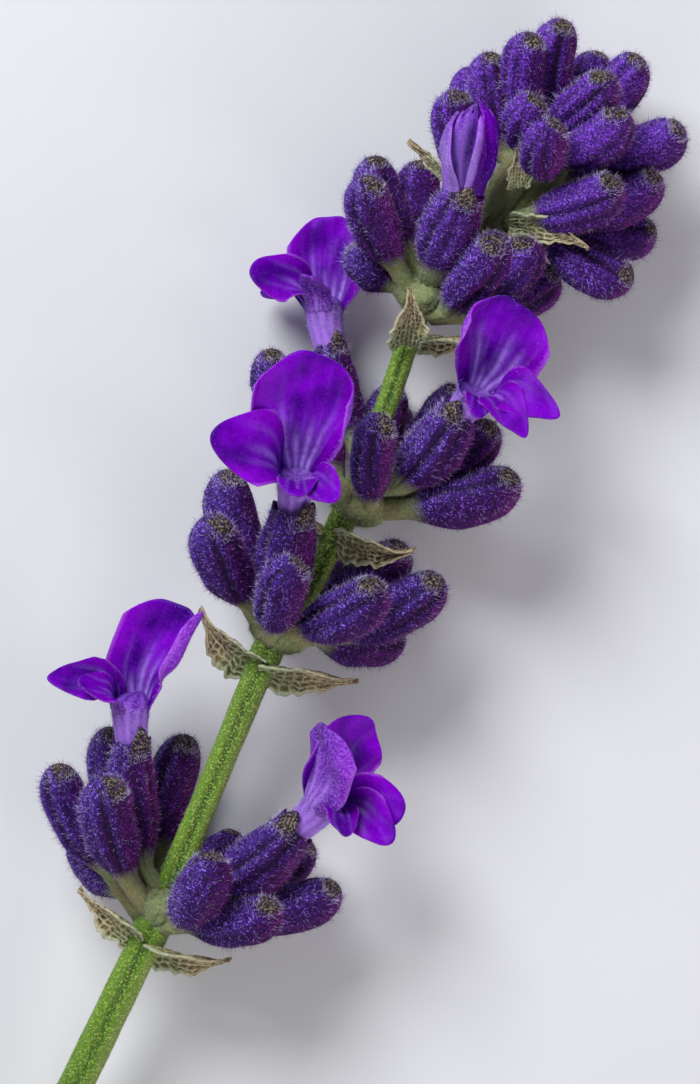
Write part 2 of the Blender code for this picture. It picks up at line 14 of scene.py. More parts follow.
import bpy
import numpy as np
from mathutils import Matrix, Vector


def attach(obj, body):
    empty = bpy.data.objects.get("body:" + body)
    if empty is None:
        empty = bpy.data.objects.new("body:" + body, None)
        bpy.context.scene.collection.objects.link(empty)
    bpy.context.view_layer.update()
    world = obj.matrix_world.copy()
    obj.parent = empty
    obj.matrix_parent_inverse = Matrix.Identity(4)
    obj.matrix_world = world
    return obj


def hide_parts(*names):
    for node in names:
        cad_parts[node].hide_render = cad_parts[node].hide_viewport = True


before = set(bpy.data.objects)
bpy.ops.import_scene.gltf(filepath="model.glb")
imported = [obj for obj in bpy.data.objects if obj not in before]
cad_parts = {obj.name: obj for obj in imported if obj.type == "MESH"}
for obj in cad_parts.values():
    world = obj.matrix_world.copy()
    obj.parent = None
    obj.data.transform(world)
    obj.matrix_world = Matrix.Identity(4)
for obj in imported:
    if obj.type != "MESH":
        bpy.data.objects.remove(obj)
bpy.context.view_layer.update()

MM = 0.001
CENTRE = np.array([-0.85, -7.6, 0.0])
ALONG = np.array([0.0, 1.0, 0.0])
UP = np.array([0.0, 0.0, 1.0])

# Stem: centre line (along, across, up) and half width of its square section
STEM_LINE = [
    (-43.3, 0.2, 0.95, 0.92),
    (-37.0, 0.1, 1.9, 0.92),
    (-30.3, 0.1, 3.5, 0.92),
    (-25.3, 0.0, 4.6, 0.90),
    (-20.9, -0.1, 5.2, 0.85),
    (-14.5, -0.6, 5.5, 0.72),
    (-8.3, -1.1, 5.4, 0.76),
    (-6.0, -1.2, 5.3, 0.74),
    (-2.6, -0.8, 5.3, 0.68),
    (1.6, -0.9, 5.4, 0.64),
    (6.4, -1.4, 5.4, 0.60),
    (11.1, -2.1, 5.4, 0.60),
    (12.3, -2.3, 5.4, 0.60),
    (15.2, -1.6, 5.3, 0.56),
    (18.0, -0.6, 5.2, 0.52),
    (21.5, -0.1, 5.2, 0.45),
]

# Collars: (along, across offset, reach from the stem, half length) of each whorl's green core
COLLARS = {
    "whorl_1": (-20.6, 0.0, 2.1, 1.0),
    "whorl_2": (-5.6, 0.0, 2.1, 1.0),
    "whorl_3": (1.9, 0.4, 2.1, 1.0),
    "whorl_4": (12.6, 0.0, 2.0, 1.0),
    "head": (20.3, 0.0, 2.1, 3.4),
}

# Calyces: base (along, across, up) from the whorl's middle on the stem, pointing (side, rise)
# in degrees, length and width
CALYCES = {
    "whorl_1": [
        (0.4, -3.0, 0.0, -56, 4, 6.2, 2.4),
        (0.6, -2.1, 1.4, -40, 28, 6.0, 2.6),
        (1.8, -2.6, -1.2, -39, -8, 6.4, 2.4),
        (1.4, -1.7, 0.7, -32, 6, 6.4, 2.6),
        (2.1, -1.1, -1.5, -16, -8, 6.4, 2.4),
        (-0.2, -1.9, -0.6, -70, -40, 4.8, 2.4),
        (-0.2, 1.2, 1.2, 4, 46, 5.4, 2.6),
        (1.5, 1.8, 0.4, 25, 8, 5.8, 2.9),
        (-0.1, 1.5, 0.9, 55, 30, 5.5, 2.4),
        (1.0, 3.2, -0.3, 50, -2, 5.9, 2.4),
        (1.6, 2.1, -1.6, 37, -14, 5.8, 2.4),
    ],
    "whorl_2": [
        (1.2, -1.6, -0.6, -44, -4, 6.6, 2.6),
        (0.6, -1.9, 1.2, -54, 38, 5.9, 2.6),
        (1.4, -0.3, 1.6, -22, 24, 5.3, 2.9),
        (0.0, -0.3, 1.5, -12, 52, 5.6, 2.4),
        (0.5, 0.8, 1.4, 39, 34, 5.8, 2.6),
        (1.8, 1.2, -0.4, 29, 0, 5.6, 2.5),
        (1.0, 2.4, 0.2, 38, 6, 6.4, 2.6),
        (0.6, 1.8, -1.0, 66, -36, 5.4, 2.4),
    ],
    "whorl_3": [
        (1.0, -2.8, -0.8, -50, -6, 5.9, 2.3),
        (2.6, -1.0, -1.4, -42, -10, 5.2, 2.4),
        (0.9, 0.8, -1.5, -16, -26, 6.2, 2.2),
        (0.2, 1.0, 1.2, -22, 34, 5.4, 2.1),
        (1.6, 1.8, 0.8, 13, 12, 5.0, 2.8),
        (2.4, 1.6, -1.2, 8, -14, 5.4, 2.3),
        (1.8, 2.8, -0.2, 22, -2, 5.3, 2.3),
        (0.8, 2.6, 0.5, 50, 6, 6.0, 2.6),
    ],
    "whorl_4": [
        (0.7, -1.9, 1.0, -50, 26, 5.2, 2.4),
        (1.4, -1.5, -0.4, -49, -6, 5.6, 2.4),
        (1.8, -0.9, -1.4, -30, -16, 5.2, 2.4),
        (-0.1, -1.4, -0.1, -76, -12, 3.2, 2.2),
        (1.1, -0.2, 1.3, -5, 22, 4.8, 2.8),
        (-0.2, 1.3, 0.8, 12, 27, 5.2, 2.6),
        (1.4, 2.6, 0.2, 20, 38, 4.4, 2.5),
        (0.4, 2.6, -0.6, 38, -6, 4.8, 2.4),
    ],
    "head": [
        (-1.8, 0.9, 1.6, 46, 22, 5.1, 2.5),
        (-1.7, -2.1, -0.2, -42, 4, 5.2, 2.3),
        (0.6, -1.4, -0.4, -40, -4, 5.4, 2.3),
        (-1.0, 3.0, 0.3, 36, 8, 5.0, 2.2),
        (-1.3, 2.4, -1.0, 70, -8, 5.0, 2.4),
        (-2.2, 1.9, 0.0, 94, 12, 5.2, 2.4),
        (1.4, 0.9, 1.2, 33, 36, 4.8, 2.4),
        (0.4, 0.4, 1.6, -20, 62, 4.4, 2.3),
        (1.2, -0.8, 1.4, -30, 58, 4.0, 2.2),
        (2.3, -1.3, 0.6, -28, 18, 4.8, 2.2),
        (2.8, -0.4, 0.0, -20, 4, 5.4, 2.3),
        (2.6, -0.3, 0.9, 28, 36, 4.8, 2.3),
        (3.4, 1.2, -0.4, 12, -4, 4.8, 2.3),
        (3.6, 0.6, -1.2, -5, -24, 4.2, 2.2),
        (2.2, 2.2, -0.1, 48, 4, 5.1, 2.5),
    ],
}

# Calyces of the lower half: (how many, first and last turn round the stem and lean from it in
# degrees, length, start of the draw)
HIDDEN = {
    "whorl_1": (4, 212, 328, 49, 6.0, 3),
    "whorl_2": (4, 208, 322, 46, 6.0, 5),
    "whorl_3": (3, 222, 318, 53, 5.8, 7),
    "whorl_4": (3, 244, 322, 55, 5.4, 11),
    "head": (5, 200, 340, 53, 5.4, 13),
}
HIDDEN_WIDTH = 2.4

# Their bases: how far up the sprig from the whorl's middle, how much further every other one,
# and how far out from the stem's middle line at most, to the sides and down
HIDDEN_ALONG = 0.4
HIDDEN_STEP = 1.1
HIDDEN_ACROSS = 1.7
HIDDEN_DOWN = 1.5

# Stalks: distance of the root from the stem's middle line, how far down the sprig it lies from
# the calyx's base as a share of that base's distance from the line, and width as a share of the
# calyx's; a calyx's bend as a share of its length
STALK_ROOT = 0.6
STALK_RISE = 0.55
STALK_WIDTH = 0.42
CALYX_BEND = 0.05

# Open flowers: whorl and calyx that each stands in, tube (side, rise, length, height of the
# dome that closes its throat, or depth of its basin where that is negative); upper lips as
# (side, rise, length, half width, spread of the root, where the inner face looks as (side,
# rise), roll of either margin in mm, how far either corner is drawn out, notch, pleats); lower
# lobes as (side, rise, length, half width, how far the face turns up, how pointed)
FLOWERS = {
    "flower_1_left": ("whorl_1", 3, (-24, 14, 1.5, 0.6), [
        (2, 12, 5.5, 2.4, 74, (-95, 58), (0.0, 1.0), (0.0, 0.30), 0.0, 0.6),
    ], [
        (-98, 34, 2.8, 0.9, 0.5, 0.2), (-113, 8, 4.1, 1.3, 0.7, 0.8),
        (-106, -24, 3.6, 1.0, 0.5, 0.2),
    ]),
    "flower_1_right": ("whorl_1", 7, (10, 18, 1.5, -0.5), [
        (6, 4, 4.6, 2.1, 50, (96, 52), (0.0, 0.2), (0.0, 0.0), 0.0, 0.2),
        (-20, 24, 4.2, 2.0, 60, (92, -48), (0.2, 0.3), (0.0, 0.0), 0.0, 0.4),
    ], [
        (140, 40, 2.6, 0.9, 0.4, 0.3), (109, 14, 3.9, 1.2, 0.8, 0.3),
        (75, 6, 3.7, 1.5, 0.8, 0.0),
    ]),
    "flower_2": ("whorl_2", 2, (-22, 44, 1.6, -0.4), [
        (-17, 14, 5.9, 2.9, 78, (-30, 84), (0.5, 0.9), (0.0, 0.0), 0.0, 1.0),
    ], [
        (108, 36, 3.0, 1.1, 0.4, 0.3), (150, 60, 2.4, 1.0, 0.0, 0.3),
        (-100, 20, 4.7, 2.1, 0.6, 0.6),
    ]),
    "flower_3_left": ("whorl_3", 1, (-28, 0, 1.8, 0.6), [
        (-24, -6, 4.7, 2.1, 74, (-60, 70), (0.0, 0.3), (0.0, 0.0), 0.0, 0.8),
    ], [
        (-56, 50, 2.2, 0.8, 0.2, 0.0), (-99, 12, 3.8, 1.3, 0.8, 0.1),
        (-122, -26, 3.2, 0.9, 0.5, 0.3),
    ]),
    "flower_3_right": ("whorl_3", 4, (0, 42, 1.2, -0.5), [
        (-3, 15, 4.6, 2.6, 76, (8, 80), (0.9, 0.0), (0.0, 0.0), 0.02, 0.8),
    ], [
        (92, 24, 4.6, 1.5, 0.6, 0.9), (122, 30, 4.2, 1.2, 0.6, 0.9),
        (160, 50, 2.6, 0.8, 0.2, 0.5),
    ]),
}

# Tubes: distance of the bend's start from the calyx's mouth, radius at both ends, and lean of a
# basin and of a dome that closes the throat
GAP = 0.3
TUBE_RADIUS = (0.82, 0.94)
THROAT_LEAN = (0.35, 0.91)

# Petals: radius that they stand on, how deep their roots sit, and their straight foot and their
# arc as shares of the length
LOBE_RADIUS = 0.95
LOBE_SINK = 0.5
LOBE_STRAIGHT = 0.05
LOBE_ARC = 0.4

# Upper lips: how much shorter their corners are and how square, half width of the notch, and the
# share of the length by which the root has become the blade
LIP_CORNER = 0.33
LIP_ROUND = 2.5
LIP_NOTCH_HALF = 0.4
LIP_FROM = 0.36

# Lower lobes: how much shorter their corners are and how square, each on blunt and on pointed
# ones, the share of the length by which the root has become the blade, and half the turn in
# degrees that a root takes up; the cup of every petal, and the radius of a rolled margin
LOBE_CORNER = (0.38, 0.62)
LOBE_EXPONENT = (2.4, 1.5)
LOBE_FROM = 0.5
LOBE_TURN = 42
LOBE_CUP = 0.22
ROLL_RADIUS = 0.30

# Bud that is half open: whorl, calyx, (side, rise), length and width
BUD = ("whorl_4", 4, (-18, 14), 4.0, 2.5)

# Petals wrapped round the bud: middle and half span in degrees round it, how far out, reach of
# its length, and how far its last margin round the bud stands off, or its first one where that
# is negative
BUD_WRAPS = [
    (92, 60, 0.00, 1.00, 0.05),
    (262, 74, 0.06, 0.90, 0.15),
    (20, 72, 0.10, 1.03, 0.34),
    (160, 62, 0.14, 0.86, -0.42),
]

# Bracts: whorl, root (along, across, up) from the whorl's middle, pointing (side, rise),
# facing (side, rise), length, half width and how far the tip curls to the faced side
BRACTS = {
    "bract_1_left": ("whorl_1", (-1.7, -1.3, 0.7), (-74, 20), (170, 40), 2.8, 0.9, -0.2),
    "bract_1_right": ("whorl_1", (-1.8, 1.3, 0.7), (76, 16), (170, 30), 3.2, 1.0, -0.2),
    "bract_2_left": ("whorl_2", (-1.8, -1.2, 0.6), (-82, 14), (165, 40), 3.0, 1.2, -0.2),
    "bract_2_right": ("whorl_2", (-1.8, 1.1, 0.6), (68, 6), (165, 40), 3.8, 1.0, -0.2),
    "bract_3_left": ("whorl_3", (-1.7, -1.3, -0.3), (-76, -14), (-170, 10), 2.8, 1.0, -0.2),
    "bract_3_right": ("whorl_3", (-1.7, 1.2, 1.2), (78, 26), (165, 50), 3.0, 1.0, -0.2),
    "bract_4_front": ("whorl_4", (-1.9, -0.1, 1.7), (-30, 46), (150, 50), 2.4, 0.9, -0.2),
    "bract_4_right": ("whorl_4", (-1.7, 1.2, -0.2), (74, -6), (165, 20), 2.8, 1.0, -0.2),
}

# Bracts: cup across the blade, how deep the root is sunk, ribs across and rungs along
BRACT_CUP = 0.45
BRACT_ROOT = 1.1
BRACT_RIBS = 7
BRACT_RUNGS = 11.0

# Thin scales in the head: root (along, across, up), pointing (side, rise), facing (side,
# rise), length, half width, curl
HEAD_SCALES = [
    ((17.8, -0.1, 6.9), (75, 12), (165, 60), 4.2, 0.8, 0.15),
    ((19.6, -0.5, 7.4), (-37, 30), (160, 50), 2.2, 0.6, -0.1),
    ((18.3, -4.0, 7.6), (-62, 10), (-160, 60), 2.6, 0.3, 0.1),
]

# Fineness of the forms
STEM_COLUMNS = 56
STEM_ROWS = 190
CALYX_COLUMNS = 40
STALK_ROWS = 4
BODY_ROWS = 15
CAP_ROWS = 8
COLLAR_COLUMNS = 40
COLLAR_ROWS = 22
TUBE_COLUMNS = 48
TUBE_ROWS = 14
THROAT_ROWS = 14
LIP_COLUMNS = 42
LOBE_COLUMNS = 24
LOBE_ROWS = 34
BUD_COLUMNS = 48
BUD_ROWS = 40
WRAP_POINTS = 30
BRACT_COLUMNS = 32
BRACT_ROWS = 46

# Calyces: share of the length where the cap begins, and the share left for it; depths of an open
# mouth's rings, and the share of the length where its floor lies; how far the tooth turns up the
# sprig, and up from the surface on hidden and on shown ones; where the tip patch begins and how
# softly it fades in
CAP_FROM = 0.70
CAP_SPAN = 0.30
MOUTH_DEPTHS = (0.01, 0.06, 0.12, 0.20)
MOUTH_FLOOR = 0.78
TOOTH_ALONG = 0.9
TOOTH_UP = (-0.5, 0.8)
PATCH_FROM = 0.32
PATCH_FADE = 0.3

# Petals: places across the face of the lips' pale folds, of their fine veins and of the lobes'
# veins; ribs round the tube and folds round the throat; how deep the bud sits in its calyx
LIP_FOLDS = (-0.52, -0.20, 0.10, 0.42)
LIP_VEINS = (-0.82, -0.36, -0.05, 0.26, 0.70)
LOBE_VEINS = (-0.58, 0.41)
TUBE_RIBS = 11.0
THROAT_FOLDS = 7.0
BUD_SINK = 0.25

# Thickness of the thin leaves, how softly what lies on the surface is pressed flat, share of the
# collars' reach that their cores take up, and the side that the light comes from, by which light
# and shade are painted into the colours of the calyces, the hairs and the stem
PETAL_THICKNESS = 0.13
BRACT_THICKNESS = 0.09
PRESS_DEPTH = 0.06
COLLAR_SHARE = 0.70
LIT_SIDE = np.array([-0.92, -0.15, 0.36])

# Scale in 1/m of the place along the sprig, from its middle, that the young calyces' violet reads;
# that violet is painted on their lit flanks only, which is painted light
YOUNG_SCALE = 30.0

# Hairs: how many on a square millimetre, and how deep the root sits
CALYX_HAIRS = 76
PETAL_HAIRS = 50
TUBE_HAIRS = 90
STEM_HAIRS = 44
COLLAR_HAIRS = 80
BRACT_HAIRS = 44
HAIR_SINK = 0.03

# Down: shortest and longest hair, how far it strays from the normal, thickness at the root
CALYX_DOWN = (0.14, 0.30, 0.38, 0.019)
COLLAR_DOWN = (0.12, 0.28, 0.50, 0.019)
STEM_DOWN = (0.05, 0.14, 0.55, 0.024)
TUBE_DOWN = (0.08, 0.20, 0.45, 0.018)
PETAL_DOWN = (0.05, 0.14, 0.50, 0.016)
BUD_DOWN = (0.05, 0.15, 0.50, 0.018)
BRACT_DOWN = (0.06, 0.16, 0.60, 0.017)
STEM_DROOP = 0.15
LONG_SHARE = 0.01
LONG_HAIRS = (0.5, 0.9)

# Steps of tone and shares of the length at a hair's four points, which also spread it out on
# its bake map
HAIR_STEPS = np.array([-0.004, 0.004, 0.0, 0.0])
HAIR_SHARES = np.array([0.02, 0.02, 0.06, 0.98])

# Starts of the random draws
STEM_SEED = 7
BUD_SEED = 41
WHORL_SEED = 100
FLOWER_SEED = 300
BRACT_SEED = 500
HEAD_SCALES_SEED = 550

# Studio, in metres: half width of the floor; the lights' places, powers and colours, and their
# size; the sky's colour and strength; the camera's lens and sensor in mm, the height of its
# picture, the level above the surface where that is measured, and its turn in degrees
FLOOR_HALF = 0.6
LIGHTS = {
    "key": ((-0.22, 0.16, 0.26), 1.45, (0.93, 0.96, 1.0)),
    "fill": ((0.30, -0.06, 0.16), 0.45, (1.0, 0.92, 0.96)),
    "back": ((0.05, -0.30, 0.20), 0.25, (1.0, 1.0, 1.0)),
}
LIGHT_SIZE = 0.20
SKY = (0.80, 0.84, 0.92, 1.0)
SKY_STRENGTH = 0.25
LENS = 200.0
SENSOR_HEIGHT = 36.0
PICTURE_HEIGHT = 0.0542
PICTURE_LEVEL = 0.006
PICTURE_LEAN = 27.0

# Sockets of a colour mix node
MIX_SHARE = 0
MIX_FIRST = 6
MIX_SECOND = 7
MIX_RESULT = 2


def point_at(along, across, up):
    """A point or a step in the order that the arrays use."""
    return np.array([across, along, up])


def heading(side, rise):
    side = math.radians(side)
    rise = math.radians(rise)
    return np.array([math.sin(side) * math.cos(rise), math.cos(side) * math.cos(rise),
                     math.sin(rise)])


def unit(v):
    return v / np.maximum(np.linalg.norm(v, axis=-1, keepdims=True), 1e-9)


def smooth(x):
    x = np.clip(x, 0.0, 1.0)
    return x * x * (3.0 - 2.0 * x)


def bump(x, width):
    """A soft hump of height 1 round x = 0."""
    return np.exp(-(x / width) ** 2)


def square_to(v, axis):
    return unit(v - axis * np.sum(v * axis, axis=-1, keepdims=True))


def ring_turns(columns):
    """Angles of a ring of points."""
    return np.arange(columns) * 2.0 * math.pi / columns


def outward(right, front, turn, reach):
    """Steps out from an axis, at these angles round it."""
    return (right * np.cos(turn)[..., None] + front * np.sin(turn)[..., None]) * reach[..., None]


def pressed(points):
    """Points with what would sink into the surface below pressed flat on it."""
    flat = points.copy()
    flat[:, 2] = 0.5 * (points[:, 2] + np.sqrt(points[:, 2] ** 2 + PRESS_DEPTH ** 2))
    return flat


def stem_at(along):
    """Centre of the stem and its half width at a place along it, eased between the points."""
    line = STEM_LINE
    low = 0
    while low < len(line) - 2 and line[low + 1][0] < along:
        low += 1
    before = line[max(low - 1, 0)]
    first = line[low]
    second = line[low + 1]
    after = line[min(low + 2, len(line) - 1)]
    span = second[0] - first[0]
    f = (along - first[0]) / span
    values = []
    for k in (1, 2, 3):
        start_slope = (second[k] - before[k]) / (second[0] - before[0]) * span
        end_slope = (after[k] - first[k]) / (after[0] - first[0]) * span
        values.append((2 * f ** 3 - 3 * f ** 2 + 1) * first[k]
                      + (f ** 3 - 2 * f ** 2 + f) * start_slope
                      + (3 * f ** 2 - 2 * f ** 3) * second[k]
                      + (f ** 3 - f ** 2) * end_slope)
    return values


def middle(whorl):
    along = COLLARS[whorl][0]
    across, up, _ = stem_at(along)
    return point_at(along, across, up)


def put_in_scene(name, data):
    thing = bpy.data.objects.new(name, data)
    bpy.context.scene.collection.objects.link(thing)
    return thing


class Form:
    """Points, faces and per-point looks of one piece, gathered part by part in mm."""

    def __init__(self):
        self.points = []
        self.looks = []
        self.faces = {3: [], 4: []}
        self.count = 0

    def add(self, points, looks, quads, triangles):
        for size, faces in ((4, quads), (3, triangles)):
            if len(faces):
                self.faces[size].append(np.asarray(faces, np.int32) + self.count)
        self.points.append(points)
        self.looks.append(looks)
        self.count += len(points)

    def add_closed(self, points, looks, quads, triangles):
        """Adds a closed body, its faces turned outwards."""
        split = [triangles]
        if len(quads):
            split += [quads[:, [0, 1, 2]], quads[:, [0, 2, 3]]]
        a, b, c = (points[np.concatenate(split)[:, k]] for k in range(3))
        if np.sum(a * np.cross(b, c)) < 0.0:
            quads = quads[:, ::-1]
            triangles = triangles[:, ::-1]
        self.add(points, looks, quads, triangles)

    def make(self, name, look, slot, *nodes):
        """The piece as a mesh object that rides on the sprig and stands for these nodes."""
        points = pressed(np.concatenate(self.points))
        looks = np.concatenate(self.looks)
        faces = [np.concatenate(self.faces[k]) for k in (3, 4) if self.faces[k]]
        corners = np.concatenate([f.ravel() for f in faces])
        sizes = np.concatenate([np.full(len(f), f.shape[1], np.int32) for f in faces])
        mesh = bpy.data.meshes.new(name)
        mesh.vertices.add(len(points))
        mesh.vertices.foreach_set("co", ((points - CENTRE) * MM).astype(np.float32).ravel())
        mesh.loops.add(len(corners))
        mesh.loops.foreach_set("vertex_index", corners.astype(np.int32))
        mesh.polygons.add(len(sizes))
        starts = np.concatenate([[0], np.cumsum(sizes)[:-1]]).astype(np.int32)
        mesh.polygons.foreach_set("loop_start", starts)
        mesh.polygons.foreach_set("use_smooth", np.ones(len(sizes), bool))
        channels = mesh.attributes.new("look", "FLOAT_COLOR", "POINT")
        channels.data.foreach_set("color", looks.astype(np.float32).ravel())
        if look == "hair":
            layer = mesh.uv_layers.new(name="OFBake", do_init=False)
            layer.uv.foreach_set("vector", looks[corners][:, :2].astype(np.float32).ravel())
        mesh.update(calc_edges=True)
        mesh.materials.append(MATERIALS[look])
        piece = put_in_scene(name, mesh)
        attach(piece, "root")
        if nodes:
            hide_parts(*nodes)


def looks_of(*channels):
    """Per-point values side by side, each clipped to the range 0 to 1."""
    return np.clip(np.stack([np.broadcast_to(c, channels[0].shape).ravel()
                             for c in channels], 1), 0.0, 1.0)


def grid_quads(rows, columns, wrap):
    """Quads between rows of points, closed round the columns where they wrap."""
    start = np.arange(rows - 1)[:, None] * columns
    here = np.arange(columns if wrap else columns - 1)[None, :]
    after = (here + 1) % columns
    quads = np.stack([start + here, start + after, start + columns + after,
                      start + columns + here], -1)
    return quads.reshape(-1, 4)


def fan(first, columns, pole, inward):
    """Triangles from a ring of points to one pole."""
    here = np.arange(columns)
    after = (here + 1) % columns
    ends = (after, here) if inward else (here, after)
    return np.stack([first + ends[0], first + ends[1], np.full(columns, pole)], 1)


def closed_tube(form, grid, first_pole, last_pole, looks):
    """Adds a tube of rings that is closed by a pole at each end."""
    rows, columns = grid.shape[:2]
    points = np.concatenate([grid.reshape(-1, 3), [first_pole, last_pole]])
    looks = np.concatenate([looks, looks[:1], looks[-1:]])
    count = rows * columns
    triangles = np.concatenate([fan(0, columns, count, True),
                                fan(count - columns, columns, count + 1, False)])
    form.add_closed(points, looks, grid_quads(rows, columns, True), triangles)


def sheet_normals(grid):
    down = np.gradient(grid, axis=0)
    over = np.gradient(grid, axis=1)
    return unit(np.cross(over, down))


def leaf_places(columns, rows, first=0.0):
    """Places across a thin leaf, from -1 to 1, and along it, from the first to 1."""
    return np.meshgrid(np.linspace(-1.0, 1.0, columns), np.linspace(first, 1.0, rows))


def tube_normals(grid):
    down = np.gradient(grid, axis=0)
    over = np.roll(grid, -1, axis=1) - np.roll(grid, 1, axis=1)
    normals = unit(np.cross(over, down))
    centre = grid.mean(axis=1, keepdims=True)
    if np.sum(normals * (grid - centre)) < 0.0:
        normals = -normals
    return normals


def closed_sheet(form, grid, thickness, looks):
    """Adds a thin closed leaf: two skins either side of the grid and a rim round them.

    looks has three values a point, and the fourth says which skin the point is on.
    """
    rows, columns = grid.shape[:2]
    normals = sheet_normals(grid)
    half = (thickness / 2.0)[..., None]
    count = rows * columns
    points = np.concatenate([(grid + normals * half).reshape(-1, 3),
                             (grid - normals * half).reshape(-1, 3)])
    skin = np.repeat([[1.0], [0.0]], count, axis=0)
    looks = np.concatenate([np.concatenate([looks, looks]), skin], 1)
    top = grid_quads(rows, columns, False)
    bottom = top[:, ::-1] + count
    edge = np.concatenate([np.arange(columns), np.arange(1, rows) * columns + columns - 1,
                           (rows - 1) * columns + np.arange(columns - 2, -1, -1),
                           np.arange(rows - 2, 0, -1) * columns])
    after = np.roll(edge, -1)
    rim = np.stack([edge, edge + count, after + count, after], 1)
    form.add_closed(points, looks, np.concatenate([top, bottom, rim]),
                    np.zeros((0, 3), np.int32))


def plant(grid, normals, wrap, density, draw):
    """Roots of hairs spread over a grid: their places, normals, and row and column."""
    rows, columns = grid.shape[:2]
    last = columns if wrap else columns - 1
    i, j = np.meshgrid(np.arange(rows - 1), np.arange(last), indexing="ij")
    i = i.ravel()
    j = j.ravel()
    next_j = (j + 1) % columns
    corner = grid[i, j]
    area = np.linalg.norm(np.cross(grid[i + 1, j] - corner, grid[i, next_j] - corner), axis=1)
    share = area * density[i, j]
    total = share.sum()
    count = int(total)
    if count == 0:
        return np.zeros((0, 3)), np.zeros((0, 3)), np.zeros(0), np.zeros(0)
    cell = draw.choice(len(share), count, p=share / total)
    f = draw.random((count, 1))
    g = draw.random((count, 1))
    i, j, next_j = i[cell], j[cell], next_j[cell]

    def mixed(values):
        return ((values[i, j] * (1 - g) + values[i, next_j] * g) * (1 - f)
                + (values[i + 1, j] * (1 - g) + values[i + 1, next_j] * g) * f)

    return mixed(grid), unit(mixed(normals)), i + f[:, 0], j + g[:, 0]


def add_hairs(form, roots, directions, lengths, tones, width, draw):
    """Each hair is a closed spike of four triangles, its root a little under the surface."""
    clear = roots[:, 2] > PRESS_DEPTH
    roots, directions, lengths, tones = (
        values[clear] for values in (roots, directions, lengths, tones))
    count = len(roots)
    if count == 0:
        return
    directions = unit(directions)
    side = square_to(draw.normal(size=(count, 3)), directions)
    other = np.cross(directions, side)
    base = roots - directions * HAIR_SINK
    points = np.empty((count, 4, 3))
    for k in range(3):
        turn = 2.0 * math.pi * k / 3.0
        points[:, k] = base + (side * math.cos(turn) + other * math.sin(turn)) * width / 2.0
    points[:, 3] = base + directions * (lengths[:, None] + HAIR_SINK)
    looks = np.zeros((count, 4, 4))
    looks[..., 0] = tones[:, None] + HAIR_STEPS
    looks[..., 1] = HAIR_SHARES
    looks[..., 3] = draw.random((count, 1))
    start = np.arange(count)[:, None] * 4
    triangles = np.concatenate([start + [0, 2, 1], start + [0, 1, 3], start + [1, 2, 3],
                                start + [2, 0, 3]])
    form.add(points.reshape(-1, 3), np.clip(looks.reshape(-1, 4), 0.0, 1.0), [], triangles)


def even_tones(low, span):
    """A function that draws a tone for each hair from one range."""
    return lambda normals, draw: low + span * draw.random(len(normals))


def pale_tones(normals, draw):
    return hair_light_and_tone(normals, 1.0, draw)


def add_down(form, grid, normals, wrap, density, style, tones, draw, thickness=0.0, lean=0.0,
             long_share=0.0):
    """Plants straying hairs on a grid, whose tones a function of their normals gives."""
    shortest, longest, stray, width = style
    roots, normals, _, _ = plant(grid, normals, wrap, density, draw)
    count = len(roots)
    roots = roots + normals * thickness / 3.0
    directions = normals + draw.normal(0.0, stray, (count, 3)) + lean
    lengths = draw.uniform(shortest, longest, count)
    if long_share > 0.0:
        long_ones = draw.random(count) < long_share
        lengths = np.where(long_ones, draw.uniform(*LONG_HAIRS, count), lengths)
    add_hairs(form, roots, directions, lengths, tones(normals, draw), width, draw)


class Calyx:
    """One calyx: its stalk's root in the stem, its base and its curved middle line."""

    def __init__(self, whorl, row, opened, shown):
        d_along, d_across, d_up, side, rise, length, width = row
        self.direction = heading(side, rise)
        self.base = middle(whorl) + point_at(d_along, d_across, d_up)
        self.length = length
        self.half = width / 2.0
        self.opened = opened
        self.shown = shown
        foot = self.base[1] - STALK_RISE * math.hypot(d_across, d_up)
        foot_across, foot_up, _ = stem_at(min(foot, STEM_LINE[-1][0]))
        axis = point_at(foot, foot_across, foot_up)
        self.root = axis + unit(self.base - axis) * STALK_ROOT
        self.sag = -square_to(ALONG, self.direction)
        self.right = square_to(np.cross(self.direction, UP), self.direction)
        self.front = np.cross(self.right, self.direction)
        towards = square_to(TOOTH_ALONG * ALONG + TOOTH_UP[shown] * UP, self.direction)
        self.tooth = math.atan2(towards @ self.front, towards @ self.right)

    def centre(self, share):
        share = np.asarray(share, float)[..., None]
        bend = CALYX_BEND * self.length * 4.0 * share * (1.0 - share)
        return self.base + self.direction * (self.length * share) + self.sag * bend

    def mouth(self):
        return self.centre(1.0)


def hidden_rows(whorl):
    """Calyces of the lower half, spread evenly round the stem with a little disorder."""
    count, first, last, middle_lean, length, seed = HIDDEN[whorl]
    draw = random.Random(seed)
    rows = []
    for k in range(count):
        turn = math.radians(first + (last - first) * k / (count - 1) + draw.uniform(-5.0, 5.0))
        lean = math.radians(middle_lean + draw.uniform(-4.0, 4.0))
        x = math.sin(lean) * math.cos(turn)
        z = math.sin(lean) * math.sin(turn)
        side = math.degrees(math.atan2(x, math.cos(lean)))
        rows.append((HIDDEN_ALONG + HIDDEN_STEP * (k % 2), HIDDEN_ACROSS * x, HIDDEN_DOWN * z,
                     side, math.degrees(math.asin(z)), length, HIDDEN_WIDTH))
    return rows


def whorl_calyces(whorl):
    holders = [row[:2] for row in FLOWERS.values()] + [BUD[:2]]
    shown = CALYCES[whorl]
    return [Calyx(whorl, row, (whorl, k) in holders, k < len(shown))
            for k, row in enumerate(shown + hidden_rows(whorl))]


